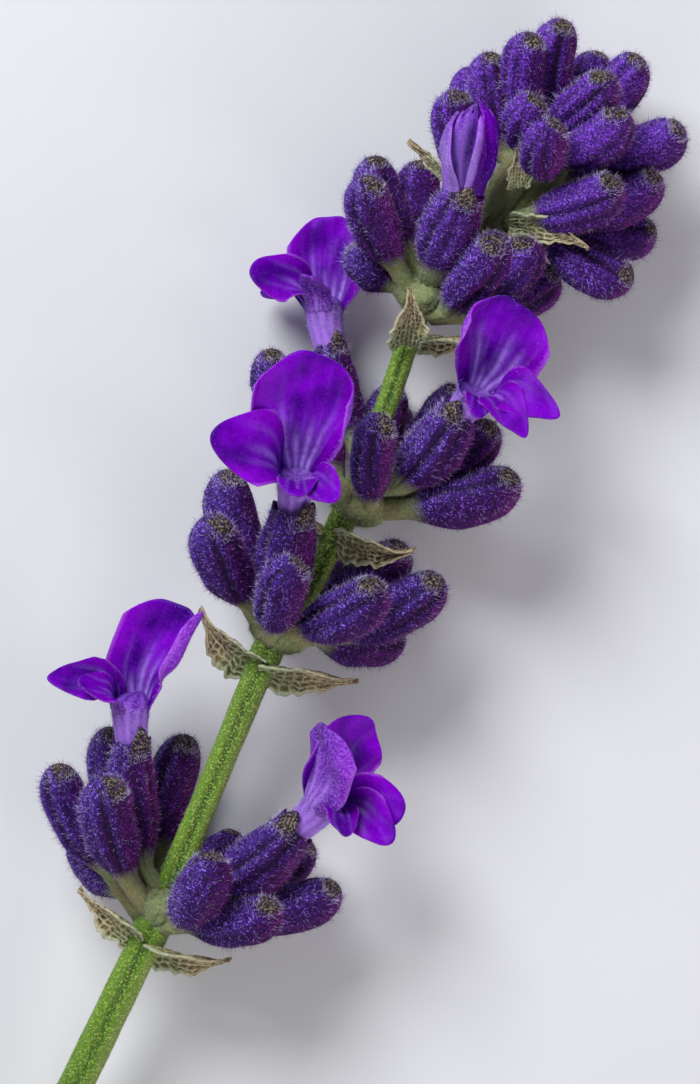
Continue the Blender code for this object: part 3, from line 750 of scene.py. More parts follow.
def calyx_outline(share, opened):
    """Half width of a calyx at a share of its length, as a share of its greatest."""
    swell = STALK_WIDTH + (1.0 - STALK_WIDTH) * smooth(share / 0.44) ** 0.8
    if opened:
        return swell * (1.0 - 0.26 * smooth((share - 0.6) / 0.4))
    cap = np.clip((share - CAP_FROM) / CAP_SPAN, 0.0, 1.0)
    return swell * np.sqrt(np.maximum(1.0 - cap ** 2.2, 0.0))


def tip_patch(near):
    return smooth((near - PATCH_FROM) / PATCH_FADE)


def calyx_parts(calyx, draw):
    """A calyx's skin as rings of points; at each the share of its length, how high it is on a
    rib, how near to the tip patch, and the turn from the tooth."""
    stalk = np.linspace(0.0, 1.0, STALK_ROWS, endpoint=False)
    if calyx.opened:
        body = np.linspace(0.0, 1.0, BODY_ROWS + CAP_ROWS)
    else:
        body = np.concatenate([np.linspace(0.0, CAP_FROM, BODY_ROWS, endpoint=False),
                               CAP_FROM + CAP_SPAN * np.sin(np.linspace(0.0, 1.5, CAP_ROWS))])
    share = np.concatenate([stalk * 0.0, body])
    centre = np.concatenate([calyx.root + (calyx.base - calyx.root) * stalk[:, None],
                             calyx.centre(body)])
    u, phi = np.meshgrid(share, ring_turns(CALYX_COLUMNS), indexing="ij")
    phase = draw.uniform(0.0, 6.28, 6)
    ribs = np.abs(np.cos(4.0 * phi + phase[0] + 0.5 * np.sin(3.0 * u + phase[1])))
    deep = 0.22 + 0.78 * np.cos(phi + phase[5] + 0.6 * u) ** 4
    ribs = 1.0 - (1.0 - ribs) * deep
    window = smooth(u / 0.15) * smooth((1.02 - u) / 0.22)
    lumps = (np.sin(2.0 * phi + phase[2] + 4.0 * u) + np.sin(3.0 * phi + phase[3] - 7.0 * u)
             + 0.7 * np.sin(5.0 * phi + phase[4] + 17.0 * u))
    swell = 1.0 + (0.24 * (ribs - 0.88) + 0.016 * lumps) * window
    apart = np.angle(np.exp(1j * (phi - calyx.tooth)))
    tooth = bump(apart, 0.95) * bump(u - 0.93, 0.10)
    groove = bump(apart, 1.35) * bump(u - 0.86, 0.05) * (1.0 - bump(apart, 0.8))
    swell += 0.13 * tooth - 0.06 * groove
    reach = calyx.half * calyx_outline(u, calyx.opened) * swell
    grid = centre[:, None, :] + outward(calyx.right, calyx.front, phi, reach)
    near = bump(apart, 1.0) * bump(u - 0.965, 0.13)
    if calyx.opened:
        rim = smooth((u - 0.72) / 0.28)
        teeth = 0.10 * bump(apart, 0.55) + 0.025 * np.cos(5.0 * apart)
        grid += calyx.direction * (calyx.length * teeth * rim)[..., None]
        near = bump(apart, 0.62) * smooth((u - 0.74) / 0.2)
    return grid, u, ribs, near, apart


def hair_light_and_tone(normals, pale, draw):
    """Place on the hairs' colour scale, with light painted in: bluish white painted on the flank
    that faces the light, dark violet in the middle and magenta painted on the far flank in place
    of a coloured light there, each mixed with some of the others; pale hairs lie near its greenish
    end."""
    count = len(normals)
    flank = normals[:, :2] @ LIT_SIDE[:2]
    lit = smooth(0.05 + 1.1 * flank)
    far = smooth(-1.3 * flank - 0.05)
    light_and_tone = 0.26 + 0.10 * lit - 0.12 * far + draw.normal(0.0, 0.03, count)
    pick = draw.random(count)
    light_and_tone = np.where(pick < 0.16 + 0.50 * lit, draw.uniform(0.56, 0.72, count), light_and_tone)
    light_and_tone = np.where(pick > 0.96 - 0.40 * far, draw.uniform(0.0, 0.08, count), light_and_tone)
    pale_tone = 0.90 + 0.09 * draw.random(count)
    return np.where(pale > 0.5, pale_tone, np.clip(light_and_tone, 0.0, 0.72))


def calyx_hairs(form, calyx, grid, u, ribs, near, draw):
    """Violet hairs, white in a border round the tip patch and mixed with brown on it, and pale
    ones at the foot."""
    shortest, longest, stray, width = CALYX_DOWN
    normals = tube_normals(grid)
    patch = tip_patch(near)
    border = bump(near - 0.27, 0.12)
    seen = 0.20 + 0.80 * smooth((normals[..., 2] + 0.55) / 0.7)
    density = CALYX_HAIRS * seen * (0.25 + 0.75 * smooth(u / 0.12)) * (0.30 + 0.70 * ribs) * (
        1.0 - 0.6 * patch + 1.1 * border) * (1.0 if calyx.shown else 0.5)
    roots, normal, row, column = plant(grid, normals, True, density, draw)
    cell = (np.clip(row.astype(int), 0, len(grid) - 1), column.astype(int) % CALYX_COLUMNS)
    u, ribs, patch, border = u[cell], ribs[cell], patch[cell], border[cell]
    count = len(roots)
    pale = (draw.random(count) < 0.75 * smooth((0.10 - u) / 0.1)).astype(float)
    lean = calyx.direction * draw.uniform(0.0, 0.8, (count, 1))
    directions = normal + lean + draw.normal(0.0, stray, (count, 3))
    lengths = draw.uniform(shortest, longest, count)
    lengths = lengths * (1.0 + 1.0 * (draw.random(count) < 0.12)) * (1.0 - 0.30 * pale)
    tones = hair_light_and_tone(normal, pale, draw)
    # Hairs in the furrows between the ribs take dark violet tones: painted shade; white ones
    # border the tip patch and brown ones stand on it
    for chosen, low, high in ((1.1 * (1.0 - ribs) * (pale < 0.5), 0.22, 0.32),
                              (0.95 * border + 0.15 * patch, 0.62, 0.72),
                              (0.35 * patch, 0.76, 0.84)):
        picked = draw.random(count) < chosen
        tones = np.where(picked, draw.uniform(low, high, count), tones)
    add_hairs(form, roots, directions, lengths, tones, width, draw)


def add_calyx(body, hairs, calyx, draw):
    grid, u, ribs, near, apart = calyx_parts(calyx, draw)
    # How far each point faces the light, with a little spread from calyx to calyx; from it the
    # skin's material paints magenta on the far flank and bluish light on the lit one: painted
    # light and shade
    light_and_tone = 0.5 + 0.5 * (tube_normals(grid) @ LIT_SIDE) + draw.uniform(-0.12, 0.12)
    looks = looks_of(u, ribs, tip_patch(near), light_and_tone)
    calyx_hairs(hairs, calyx, grid, u, ribs, near, draw)
    if not calyx.opened:
        closed_tube(body, grid, calyx.root, calyx.mouth(), looks)
        return
    inner = []
    for k, depth in enumerate(MOUTH_DEPTHS):
        centre = calyx.centre(1.0 - depth)
        ring = grid[-1] - centre
        inward = ring - calyx.direction * (ring @ calyx.direction)[:, None]
        lip = calyx.length * 0.06 * (k == 0) * bump(apart[-1], 0.5)
        inner.append(centre + inward * (0.90 - 0.05 * k) + calyx.direction * lip[:, None])
    grid = np.concatenate([grid, np.stack(inner)])
    # Inside the mouth the rings take the rim's looks with the rib value cut to three tenths, which
    # paints them dark: painted shade in the mouth
    edge = np.repeat(looks[-CALYX_COLUMNS:], len(inner), axis=0)
    looks = np.concatenate([looks, edge * np.array([1.0, 0.3, 0.4, 1.0])])
    closed_tube(body, grid, calyx.root, calyx.centre(MOUTH_FLOOR), looks)


def add_collar(body, hairs, whorl, draw):
    """The green core of a whorl, uneven and downy."""
    along, shift, reach, half_length = COLLARS[whorl]
    polar = np.linspace(0.12, math.pi - 0.12, COLLAR_ROWS)
    p, phi = np.meshgrid(polar, ring_turns(COLLAR_COLUMNS), indexing="ij")
    phase = draw.uniform(0.0, 6.28, 4)
    ribs = np.abs(np.cos(9.0 * phi + phase[0] + 0.6 * np.sin(3.0 * p + phase[1])))
    rough = (0.92 + 0.16 * ribs + 0.07 * np.sin(5 * phi + phase[2])
             + 0.04 * np.sin(11 * phi - 9 * p + phase[3]))
    here = along + half_length * np.cos(p) * 1.05
    line = np.array([stem_at(min(h, STEM_LINE[-1][0]))[:2] for h in here[:, 0]])
    radius = COLLAR_SHARE * reach * np.sin(p)
    grid = np.stack([line[:, None, 0] + shift + radius * np.cos(phi) * rough, here,
                     line[:, None, 1] + radius * np.sin(phi) * rough], -1)
    looks = looks_of(0.0 * p, ribs, 0.0 * p, 0.5 + 0.0 * p)
    closed_tube(body, grid, grid[0].mean(0), grid[-1].mean(0), looks)
    add_down(hairs, grid, tube_normals(grid), True, COLLAR_HAIRS * (0.4 + ribs), COLLAR_DOWN,
             pale_tones, draw)


def make_whorls():
    for number, whorl in enumerate(CALYCES):
        draw = np.random.default_rng(WHORL_SEED + number)
        body = Form()
        hairs = Form()
        for calyx in whorl_calyces(whorl):
            add_calyx(body, hairs, calyx, draw)
        add_collar(body, hairs, whorl, draw)
        body.make(whorl + "_calyx_skins", "calyx", "calyx_violet", whorl + "_calyces")
        hairs.make(whorl + "_hairs", "hair", "calyx_violet")


def make_stem():
    draw = np.random.default_rng(STEM_SEED)
    along = np.linspace(STEM_LINE[0][0], STEM_LINE[-1][0], STEM_ROWS)
    line = np.array([stem_at(a) for a in along])
    y, phi = np.meshgrid(along, ring_turns(STEM_COLUMNS), indexing="ij")
    section = 1.0 - 0.10 * np.cos(4.0 * phi) + 0.022 * np.cos(8.0 * phi + 3.1)
    section += 0.012 * np.sin(1.7 * y + 2.0 * phi) + 0.008 * np.sin(4.3 * y - 3.0 * phi)
    for collar_along, *_ in COLLARS.values():
        section += 0.16 * bump(y - collar_along + 1.4, 0.9)
    reach = line[:, 2][:, None] * section
    grid = np.stack([line[:, 0][:, None] + reach * np.cos(phi), y,
                     line[:, 1][:, None] + reach * np.sin(phi)], -1)
    ridge = 0.5 - 0.5 * np.cos(4.0 * phi)
    groove = bump(np.cos(4.0 * phi) - 1.0, 0.35)
    normals = tube_normals(grid)
    # How far each point faces the light; from it the stem's material paints the far side olive
    # tan: painted shade
    lit = 0.5 + 0.5 * (normals @ LIT_SIDE)
    looks = looks_of((y - along[0]) / (along[-1] - along[0]), ridge, groove, lit)
    body = Form()
    hairs = Form()
    closed_tube(body, grid, grid[0].mean(0) + ALONG * 0.12, grid[-1].mean(0), looks)
    upper = smooth((normals[..., 2] + 0.7) / 0.7)
    density = STEM_HAIRS * (0.7 + 0.6 * ridge) * (0.25 + 0.75 * upper)
    add_down(hairs, grid, normals, True, density, STEM_DOWN, even_tones(0.94, 0.05), draw,
             lean=-ALONG * STEM_DROOP)
    body.make("stem_skin", "stem", "stem_green", "stem")
    hairs.make("stem_down", "hair", "stem_green")


def arc_place(distance, length, bend):
    """How far along the axis and away from it a lobe has come, and its angle there."""
    straight = LOBE_STRAIGHT * length
    radius = LOBE_ARC * length / bend
    angle = np.clip((distance - straight) / radius, 0.0, bend)
    rest = np.maximum(distance - straight - bend * radius, 0.0)
    along = np.minimum(distance, straight) + radius * np.sin(angle) + rest * math.cos(bend)
    away = radius * (1.0 - np.cos(angle)) + rest * math.sin(bend)
    return along, away, angle


class Bend:
    """How a petal leaves the tube and bends over, from its root (t = 0) to its tip."""

    def __init__(self, axis, side, rise, length, t):
        direction = heading(side, rise)
        bend = math.acos(np.clip(axis @ direction, -1.0, 1.0))
        lean = square_to(direction, axis)
        self.distance = t * (length + LOBE_SINK) - LOBE_SINK
        along, away, angle = arc_place(self.distance, length, bend)
        self.place = axis * along[..., None] + lean * away[..., None]
        self.hinge = np.cross(axis, lean)
        self.cos = np.cos(angle)[..., None]
        self.sin = np.sin(angle)[..., None]
        self.lean = lean
        self.forward = self.swung(axis)

    def swung(self, v):
        """A direction at the rim, carried along the bend."""
        return (v * self.cos + np.cross(self.hinge, v) * self.sin
                + self.hinge * (self.hinge @ v) * (1.0 - self.cos))


def petal_places(rim, bend, out, normal, across, inward, t):
    """Points of a petal; its root sits inside the tube's wall and comes out of it smoothly."""
    tangent = np.cross(bend.forward, normal)
    radius = LOBE_RADIUS - 0.17 * (1.0 - smooth(t / 0.16))
    return (rim + bend.place + out * radius[..., None]
            + tangent * across[..., None] - normal * inward[..., None])


def rolled(distance, roll, fade):
    """How far back and how deep the points of a margin of width roll lie once it is curled."""
    distance = np.clip(distance, 0.0, roll)
    radius = ROLL_RADIUS / np.maximum(fade, 0.05)
    angle = distance / radius
    return distance - radius * np.sin(angle), radius * (1.0 - np.cos(angle))


def cupped(s, k, spread, width):
    """How far across and inward a petal's points lie: round the rim at its root, where k is 0,
    and in a shallow cup from where k is 1."""
    turn = s * math.radians(spread)
    across = LOBE_RADIUS * np.sin(turn) * (1.0 - k) + width * s * k
    inward = LOBE_RADIUS * (1.0 - np.cos(turn)) * (1.0 - k)
    return across, inward + LOBE_CUP * width * s * s * k


def lip_grid(rim, axis, petal, draw):
    """The upper lip, cupped and pleated, its margins rolled: points, s, t, pale streaks and
    distance from the rim."""
    side, rise, length, half_width, spread, facing, rolls, corners, notch, pleats = petal
    s, row = leaf_places(LIP_COLUMNS, LOBE_ROWS)
    phase = draw.uniform(0.0, 6.28, 6)
    dip = notch * np.maximum(0.0, 1.0 - np.abs(s) / LIP_NOTCH_HALF) ** 1.5
    drawn = sum(c * bump(s - sign * 0.86, 0.22) for sign, c in zip((1.0, -1.0), corners))
    t = row * (1.0 - LIP_CORNER * np.abs(s) ** LIP_ROUND - dip + drawn)
    edge = smooth((t - 0.35) / 0.5)
    t = t * (1.0 + 0.015 * edge * np.sin(6.0 * s + phase[0]))
    bend = Bend(axis, side, rise, length, t)
    out = square_to(-heading(*facing), axis)
    k = smooth(t / LIP_FROM)
    width = half_width * (1.0 - 0.10 * bump(t - 1.0, 0.25) - 0.08 * bump(t - 0.36, 0.16))
    across, inward = cupped(s, k, spread, width)
    for sign, roll in zip((1.0, -1.0), rolls):
        if roll > 0.0:
            curled = smooth((t - 0.25) / 0.35)
            back, deep = rolled(sign * s * width - (width - roll), roll, curled)
            held = max(roll - 0.8 * ROLL_RADIUS, 0.0) * (1.0 - curled) * smooth(sign * s)
            across = across - sign * (back + held) * k
            inward = inward + deep * k
    inward = inward + half_width * edge * (0.13 * np.sin(6.0 * t + phase[1] + 2.0 * s) * s * s
                                           + 0.04 * np.sin(11.0 * t + 5.0 * s + phase[2]))
    streaks = np.zeros_like(s)
    for n, mark in enumerate(LIP_FOLDS):
        off = s - mark * (0.7 + 0.5 * t)
        reach = 0.45 + 0.28 * math.sin(2.3 * n + phase[3])
        streak = bump(off, 0.10 - 0.05 * t) * smooth((reach + 0.2 - t) / 0.3)
        streaks = np.maximum(streaks, streak)
        inward = inward - 0.17 * pleats * bump(off, 0.11) * k * (1.0 - 0.8 * t)
    for mark in LIP_VEINS:
        streaks = np.maximum(streaks, 0.24 * bump(s - mark * (0.6 + 0.5 * t), 0.035))
    inward = inward - 0.05 * streaks * k * (1.0 - 0.5 * t)
    place = petal_places(rim, bend, out, bend.swung(out), across, inward, t)
    return place, s, t, streaks, bend.distance


def lobe_grid(rim, axis, petal, draw):
    """A lower lobe, which bends out and turns its face upwards, with the same values."""
    side, rise, length, half_width, face_up, point = petal
    s, row = leaf_places(LOBE_COLUMNS, LOBE_ROWS)
    phase = draw.uniform(0.0, 6.28, 6)
    corner = LOBE_CORNER[0] + (LOBE_CORNER[1] - LOBE_CORNER[0]) * point
    exponent = LOBE_EXPONENT[0] + (LOBE_EXPONENT[1] - LOBE_EXPONENT[0]) * point
    t = row * (1.0 - corner * np.abs(s) ** exponent)
    bend = Bend(axis, side, rise, length, t)
    k = smooth(t / LOBE_FROM)
    share = (face_up * smooth((t - 0.08) / 0.5))[..., None]
    facing = -square_to(UP, bend.forward)
    normal = unit(bend.swung(bend.lean) * (1.0 - share) + facing * share)
    across, inward = cupped(s, k, LOBE_TURN, half_width)
    edge = smooth((t - 0.3) / 0.5)
    inward = inward + half_width * edge * (0.10 * np.sin(5.0 * t + phase[1] + 2.0 * s) * np.abs(s)
                                           + 0.05 * np.sin(12.0 * t + 5.0 * s + phase[2]))
    streaks = 0.7 * bump(s, 0.10) * smooth((0.8 - t) / 0.5)
    for mark in LOBE_VEINS:
        streaks = np.maximum(streaks, 0.26 * bump(s - mark * (0.7 + 0.3 * t), 0.07))
    inward = inward - 0.10 * bump(s, 0.22) * k * (1.0 - t) + 0.04 * streaks * k
    place = petal_places(rim, bend, bend.lean, normal, across, inward, t)
    return place, s, t, streaks, bend.distance


def level(distance):
    """Distance past the rim of the tube, scaled to the range that a look holds."""
    return (distance + 1.5) / 6.0


def tube_grid(start, knee, rim, up_calyx, axis):
    """The flower's tube, from inside its calyx to the rim where the lobes part."""
    share, turn = np.meshgrid(np.linspace(-0.7, 1.0, TUBE_ROWS), ring_turns(TUBE_COLUMNS),
                              indexing="ij")
    s = np.clip(share, 0.0, 1.0)[..., None]
    below = np.minimum(share, 0.0)[..., None]
    forward = unit(up_calyx * (1.0 - s) + axis * s)
    side = square_to(unit(np.cross(axis, UP)), forward)
    radius = TUBE_RADIUS[0] + (TUBE_RADIUS[1] - TUBE_RADIUS[0]) * smooth(share)
    radius = radius + 0.022 * np.cos(TUBE_RIBS * turn) * smooth((1.0 - share) / 0.4)
    radius = radius - 0.16 * smooth(-share / 0.7)
    place = start * (1 - s) ** 2 + knee * (2 * s * (1 - s)) + rim * s ** 2
    place = place + up_calyx * below * 1.4
    return place + outward(side, np.cross(forward, side), turn, radius), share, turn


def throat_grid(ring, rim, axis, height, lip):
    """Rings that close the tube: a dome that leans over to the upper lip, or a basin."""
    side, rise, length, _, _, facing, *_ = lip
    turn = np.linspace(0.0, 0.5 * math.pi, THROAT_ROWS)[1:]
    distance = height * np.sin(turn)
    bend = Bend(axis, side, rise, length, (distance + LOBE_SINK) / (length + LOBE_SINK))
    out = square_to(-heading(*facing), axis)
    over = out * (THROAT_LEAN[height > 0.0] * (1.0 - np.cos(turn)))[:, None]
    centre = rim + bend.place + over
    narrowing = np.maximum(np.cos(turn), 0.01)[:, None, None]
    grid = centre[:, None, :] + (ring - rim)[None, :, :] * narrowing
    # Share of the throat's pale colour: it falls towards the middle, where the throat is painted
    # dark as painted shade of the open tube
    outer_and_throat_light = np.cos(turn) if height > 0.0 else 0.25 + 0.5 * np.cos(turn)
    return grid, distance, outer_and_throat_light


def add_tube(body, hairs, place, share, turn, length, throat, draw):
    """The tube from inside its calyx to the closed throat, and the down on it."""
    dome, distance, outer_and_throat_light = throat
    ribs = 0.5 + 0.5 * np.cos(TUBE_RIBS * turn)
    along = level((share - 1.0) * length)
    none = 0.0 * along
    folds = 0.5 + 0.5 * np.cos(THROAT_FOLDS * np.repeat(turn[:1], len(dome), axis=0))
    beyond = np.broadcast_to(level(distance)[:, None], folds.shape)
    # The throat's last value falls towards its middle and paints it dark there: painted shade
    looks = np.concatenate([
        looks_of(along, none, 0.6 * ribs, none + 1.0),
        looks_of(beyond, 0.0 * folds, 0.25 * folds, 0.0 * folds + 0.8 * outer_and_throat_light[:, None]),
    ])
    grid = np.concatenate([place, dome])
    closed_tube(body, grid, place[0].mean(axis=0), dome[-1].mean(axis=0), looks)
    add_down(hairs, place, tube_normals(place), True, TUBE_HAIRS * smooth((share + 0.2) / 0.3),
             TUBE_DOWN, even_tones(0.50, 0.18), draw, long_share=LONG_SHARE)


def petal_light_and_tones(normals, draw):
    # Down painted lighter on the side that faces the light, with a random spread: painted light
    tones = 0.54 + 0.10 * (normals @ LIT_SIDE) + draw.normal(0.0, 0.06, len(normals))
    return np.clip(tones, 0.40, 0.71)


def add_petal(body, hairs, petal, rim, draw):
    """A petal, turned so that its normals point outwards, with down on its outer face and
    round its margin."""
    if np.sum(sheet_normals(petal[0])[:6] * (petal[0][:6] - rim)) < 0.0:
        petal = [values[:, ::-1] for values in petal]
    grid, s, t, streaks, distance = petal
    thickness = PETAL_THICKNESS * (0.35 + 0.65 * smooth((1.0 - np.abs(s)) / 0.25)) * (
        0.4 + 0.6 * smooth(t / 0.1))
    closed_sheet(body, grid, thickness, looks_of(level(distance), np.abs(s), streaks))
    normals = sheet_normals(grid)
    margin = smooth((np.abs(s) - 0.86) / 0.12) + smooth((t - 0.92) / 0.07)
    for face, amount in ((1.0, 1.0), (-1.0, 0.04)):
        add_down(hairs, grid, normals * face, False, PETAL_HAIRS * (amount + 1.4 * margin),
                 PETAL_DOWN, petal_light_and_tones, draw, thickness=PETAL_THICKNESS)


def make_flowers():
    for number, (name, row) in enumerate(FLOWERS.items()):
        whorl, index, (side, rise, tube_length, height), lips, lobes = row
        draw = np.random.default_rng(FLOWER_SEED + number)
        calyx = whorl_calyces(whorl)[index]
        axis = heading(side, rise)
        start = calyx.mouth() + calyx.direction * GAP
        knee = start + calyx.direction * (0.5 * tube_length)
        rim = knee + axis * (0.5 * tube_length)
        body = Form()
        hairs = Form()
        place, share, turn = tube_grid(start, knee, rim, calyx.direction, axis)
        throat = throat_grid(place[-1], rim, axis, height, lips[0])
        add_tube(body, hairs, place, share, turn, tube_length, throat, draw)
        petals = [lip_grid(rim, axis, lip, draw) for lip in lips]
        petals += [lobe_grid(rim, axis, lobe, draw) for lobe in lobes]
        for petal in petals:
            add_petal(body, hairs, petal, rim, draw)
        body.make(name + "_petals", "petal", "petal_violet", name)
        hairs.make(name + "_down", "hair", "petal_violet")


class Bud:
    """The half-open bud: where it starts, its axis and its length."""

    def __init__(self):
        whorl, number, aim, length, width = BUD
        calyx = whorl_calyces(whorl)[number]
        self.axis = heading(*aim)
        self.start = calyx.mouth() - calyx.direction * BUD_SINK
        self.length = length + GAP + BUD_SINK
        self.width = width
        self.right = unit(np.cross(self.axis, UP))
        self.front = np.cross(self.right, self.axis)

    def half(self, share):
        closing = np.clip((share - 0.5) / 0.5, 0.0, 1.0)
        swell = 0.76 + 0.24 * smooth(share / 0.45)
        return self.width / 2.0 * swell * np.sqrt(1.0 - closing ** 2.0)

    def around(self, share, phi, reach):
        """Points at a share of the length, a turn round the axis and a distance from it."""
        return (self.start + self.axis * (self.length * share)[..., None]
                + outward(self.right, self.front, phi, reach))


def add_wrap(body, hairs, bud, wrap, draw):
    """A petal rolled round the bud, one of its margins standing off, and the down on it."""
    turn, span, out, reach, stand = wrap
    s, t = leaf_places(WRAP_POINTS, WRAP_POINTS, 0.03)
    phase = draw.uniform(0.0, 6.28, 4)
    edge = smooth((s * math.copysign(1.0, stand) - 0.45) / 0.5)
    rim = smooth((edge - 0.6) / 0.3)
    ragged = (0.05 * np.sin(9.0 * s + phase[1]) + 0.04 * np.sin(17.0 * s + phase[3])) * t
    share = t * reach * (1.0 - 0.16 * np.abs(s) ** 2.5 * t + ragged)
    phi = math.radians(turn) + math.radians(span) * s * (1.0 - 0.35 * t) + 0.25 * t
    folds = (0.08 * np.sin(7.0 * s + phase[0] + 2.0 * t) + 0.06 * bump(s - 0.15, 0.12)
             + 0.06 * np.sin(9.0 * t + 4.0 * s + phase[2]))
    lift = out + folds * smooth(t / 0.3) + abs(stand) * edge * smooth(t / 0.4)
    grid = bud.around(share, phi, bud.half(share * 0.985) * (0.90 + lift) + 0.04)
    # How far a point of the wrap faces the light, which lies to the left: it paints that side pale
    # through the streak value, and more down grows there: painted light
    lit = smooth(0.45 - 0.75 * np.cos(phi))
    streaks = np.maximum(0.8 * rim, 0.6 * bump(s + 0.1, 0.05) * (1.0 - t))
    closed_sheet(body, grid, PETAL_THICKNESS * (0.5 + 0.5 * (1.0 - s * s)),
                 looks_of(0.16 + 0.44 * t, np.abs(s), np.maximum(streaks, 0.55 * lit)))
    normals = sheet_normals(grid)
    from_middle = grid - bud.start - bud.axis * (0.5 * bud.length)
    face = np.sign(np.sum(normals * from_middle, -1).mean())
    add_down(hairs, grid, normals * face, False, PETAL_HAIRS * (0.3 + 2.2 * lit + 1.5 * rim),
             BUD_DOWN, even_tones(0.54, 0.17), draw, thickness=PETAL_THICKNESS)


def make_bud():
    """The half-open bud: a core and petals rolled one over another to a point."""
    bud = Bud()
    draw = np.random.default_rng(BUD_SEED)
    share, phi = np.meshgrid(np.linspace(0.01, 0.985, BUD_ROWS), ring_turns(BUD_COLUMNS),
                             indexing="ij")
    core = bud.around(share, phi, 0.84 * bud.half(share) * (1.0 + 0.04 * np.cos(5.0 * phi)))
    looks = looks_of(0.30 + 0.5 * share, 0.2 + 0.0 * phi, 0.5 * (1.0 - share), 0.8 * (1.0 - share))
    body = Form()
    hairs = Form()
    closed_tube(body, core, bud.start, bud.start + bud.axis * bud.length, looks)
    for wrap in BUD_WRAPS:
        add_wrap(body, hairs, bud, wrap, draw)
    body.make("flower_4_bud_petals", "petal", "petal_violet", "flower_4_bud")
    hairs.make("flower_4_bud_down", "hair", "petal_violet")


def bract_net(s, t, phase):
    """Ribs along a dry scale, laced in a net by rungs, and its firm margin."""
    lane = (s / (1.0 - 0.3 * t) + 1.0) * 0.5 * BRACT_RIBS
    ribs = bump(lane - np.round(lane), 0.15)
    rung = (BRACT_RUNGS * t + 0.5 * (np.floor(lane) % 2) + 0.35 * np.sin(2.0 * lane + phase[2])
            + 0.2 * np.sin(9.0 * t + phase[5]))
    net = np.maximum(ribs, 0.85 * bump(rung - np.round(rung), 0.14))
    return np.maximum(net, smooth((np.abs(s) - 0.84) / 0.1))


def bract_half(s, t, half_width, phase):
    """Half width of a blade with a drawn-out tip and a torn margin."""
    blade = np.sin(math.pi * np.clip(0.16 + 0.84 * t / 0.86, 0.0, 1.0) ** 0.8) ** 0.8
    half = half_width * np.maximum(blade, 0.24 * smooth((1.06 - t) / 0.3)) + 0.03
    return half * (1.0 + 0.09 * np.sin(13.0 * t + phase[0] + s)
                   + 0.08 * np.sin(29.0 * t + phase[1])
                   + 0.05 * np.sin(53.0 * t + phase[7] + 3.0 * s))


def bract_hairs(hairs, grid, s, t, net, draw):
    """Short down on both faces, whiter near the root."""
    shortest, longest, stray, width = BRACT_DOWN
    normals = sheet_normals(grid)
    margin = smooth((np.abs(s) - 0.85) / 0.1)
    low = smooth((0.55 - t) / 0.4)
    density = BRACT_HAIRS * (0.15 + 0.7 * net + 1.2 * margin) * (0.35 + low)
    for face in (1.0, -1.0):
        roots, normal, row, _ = plant(grid, normals * face, False, density, draw)
        count = len(roots)
        directions = normal * 0.7 + draw.normal(0.0, stray, (count, 3))
        white = draw.random(count) < low[np.clip(row.astype(int), 0, BRACT_ROWS - 1), 0]
        tones = np.where(white, draw.uniform(0.66, 0.74, count), draw.uniform(0.80, 0.98, count))
        lengths = draw.uniform(shortest, longest, count)
        add_hairs(hairs, roots, directions, lengths, tones, width, draw)


def add_bract(body, hairs, root, shape, sunk, draw):
    """A dry scale whose root is sunk, its blade laced with a net of ribs."""
    aim, face, length, half_width, curl = shape
    forward = heading(*aim)
    start = root - forward * sunk
    length = length + sunk
    facing = square_to(heading(*face), forward)
    lateral = np.cross(forward, facing)
    s, t = leaf_places(BRACT_COLUMNS, BRACT_ROWS)
    phase = draw.uniform(0.0, 6.28, 8)
    half = bract_half(s, t, half_width, phase)
    net = bract_net(s, t, phase)
    lift = (2.6 * curl * t ** 3 + BRACT_CUP * half * s * s + 0.09 * net
            + 0.12 * np.sin(5.0 * t + 3.0 * s + phase[3]) * t
            + 0.07 * np.sin(12.0 * t - 6.0 * s + phase[4]))
    sway = 0.14 * length * np.sin(2.6 * t + phase[6]) * t
    grid = (start + forward * (length * t)[..., None]
            + lateral * (half * s + sway)[..., None] + facing * lift[..., None])
    closed_sheet(body, grid, BRACT_THICKNESS * (0.6 + 0.7 * net),
                 looks_of(t, net, draw.random() + 0.0 * t))
    bract_hairs(hairs, grid, s, t, net, draw)


def make_bracts():
    for number, (name, (whorl, root, *shape)) in enumerate(BRACTS.items()):
        draw = np.random.default_rng(BRACT_SEED + number)
        body = Form()
        hairs = Form()
        add_bract(body, hairs, middle(whorl) + point_at(*root), shape, BRACT_ROOT, draw)
        body.make(name + "_scale", "bract", "bract_tan", name)
        hairs.make(name + "_fringe", "hair", "bract_tan")
    draw = np.random.default_rng(HEAD_SCALES_SEED)
    body = Form()
    hairs = Form()
    for root, *shape in HEAD_SCALES:
        add_bract(body, hairs, point_at(*root), shape, 0.0, draw)
    body.make("head_scales", "bract", "bract_tan")
    hairs.make("head_scales_fringe", "hair", "bract_tan")


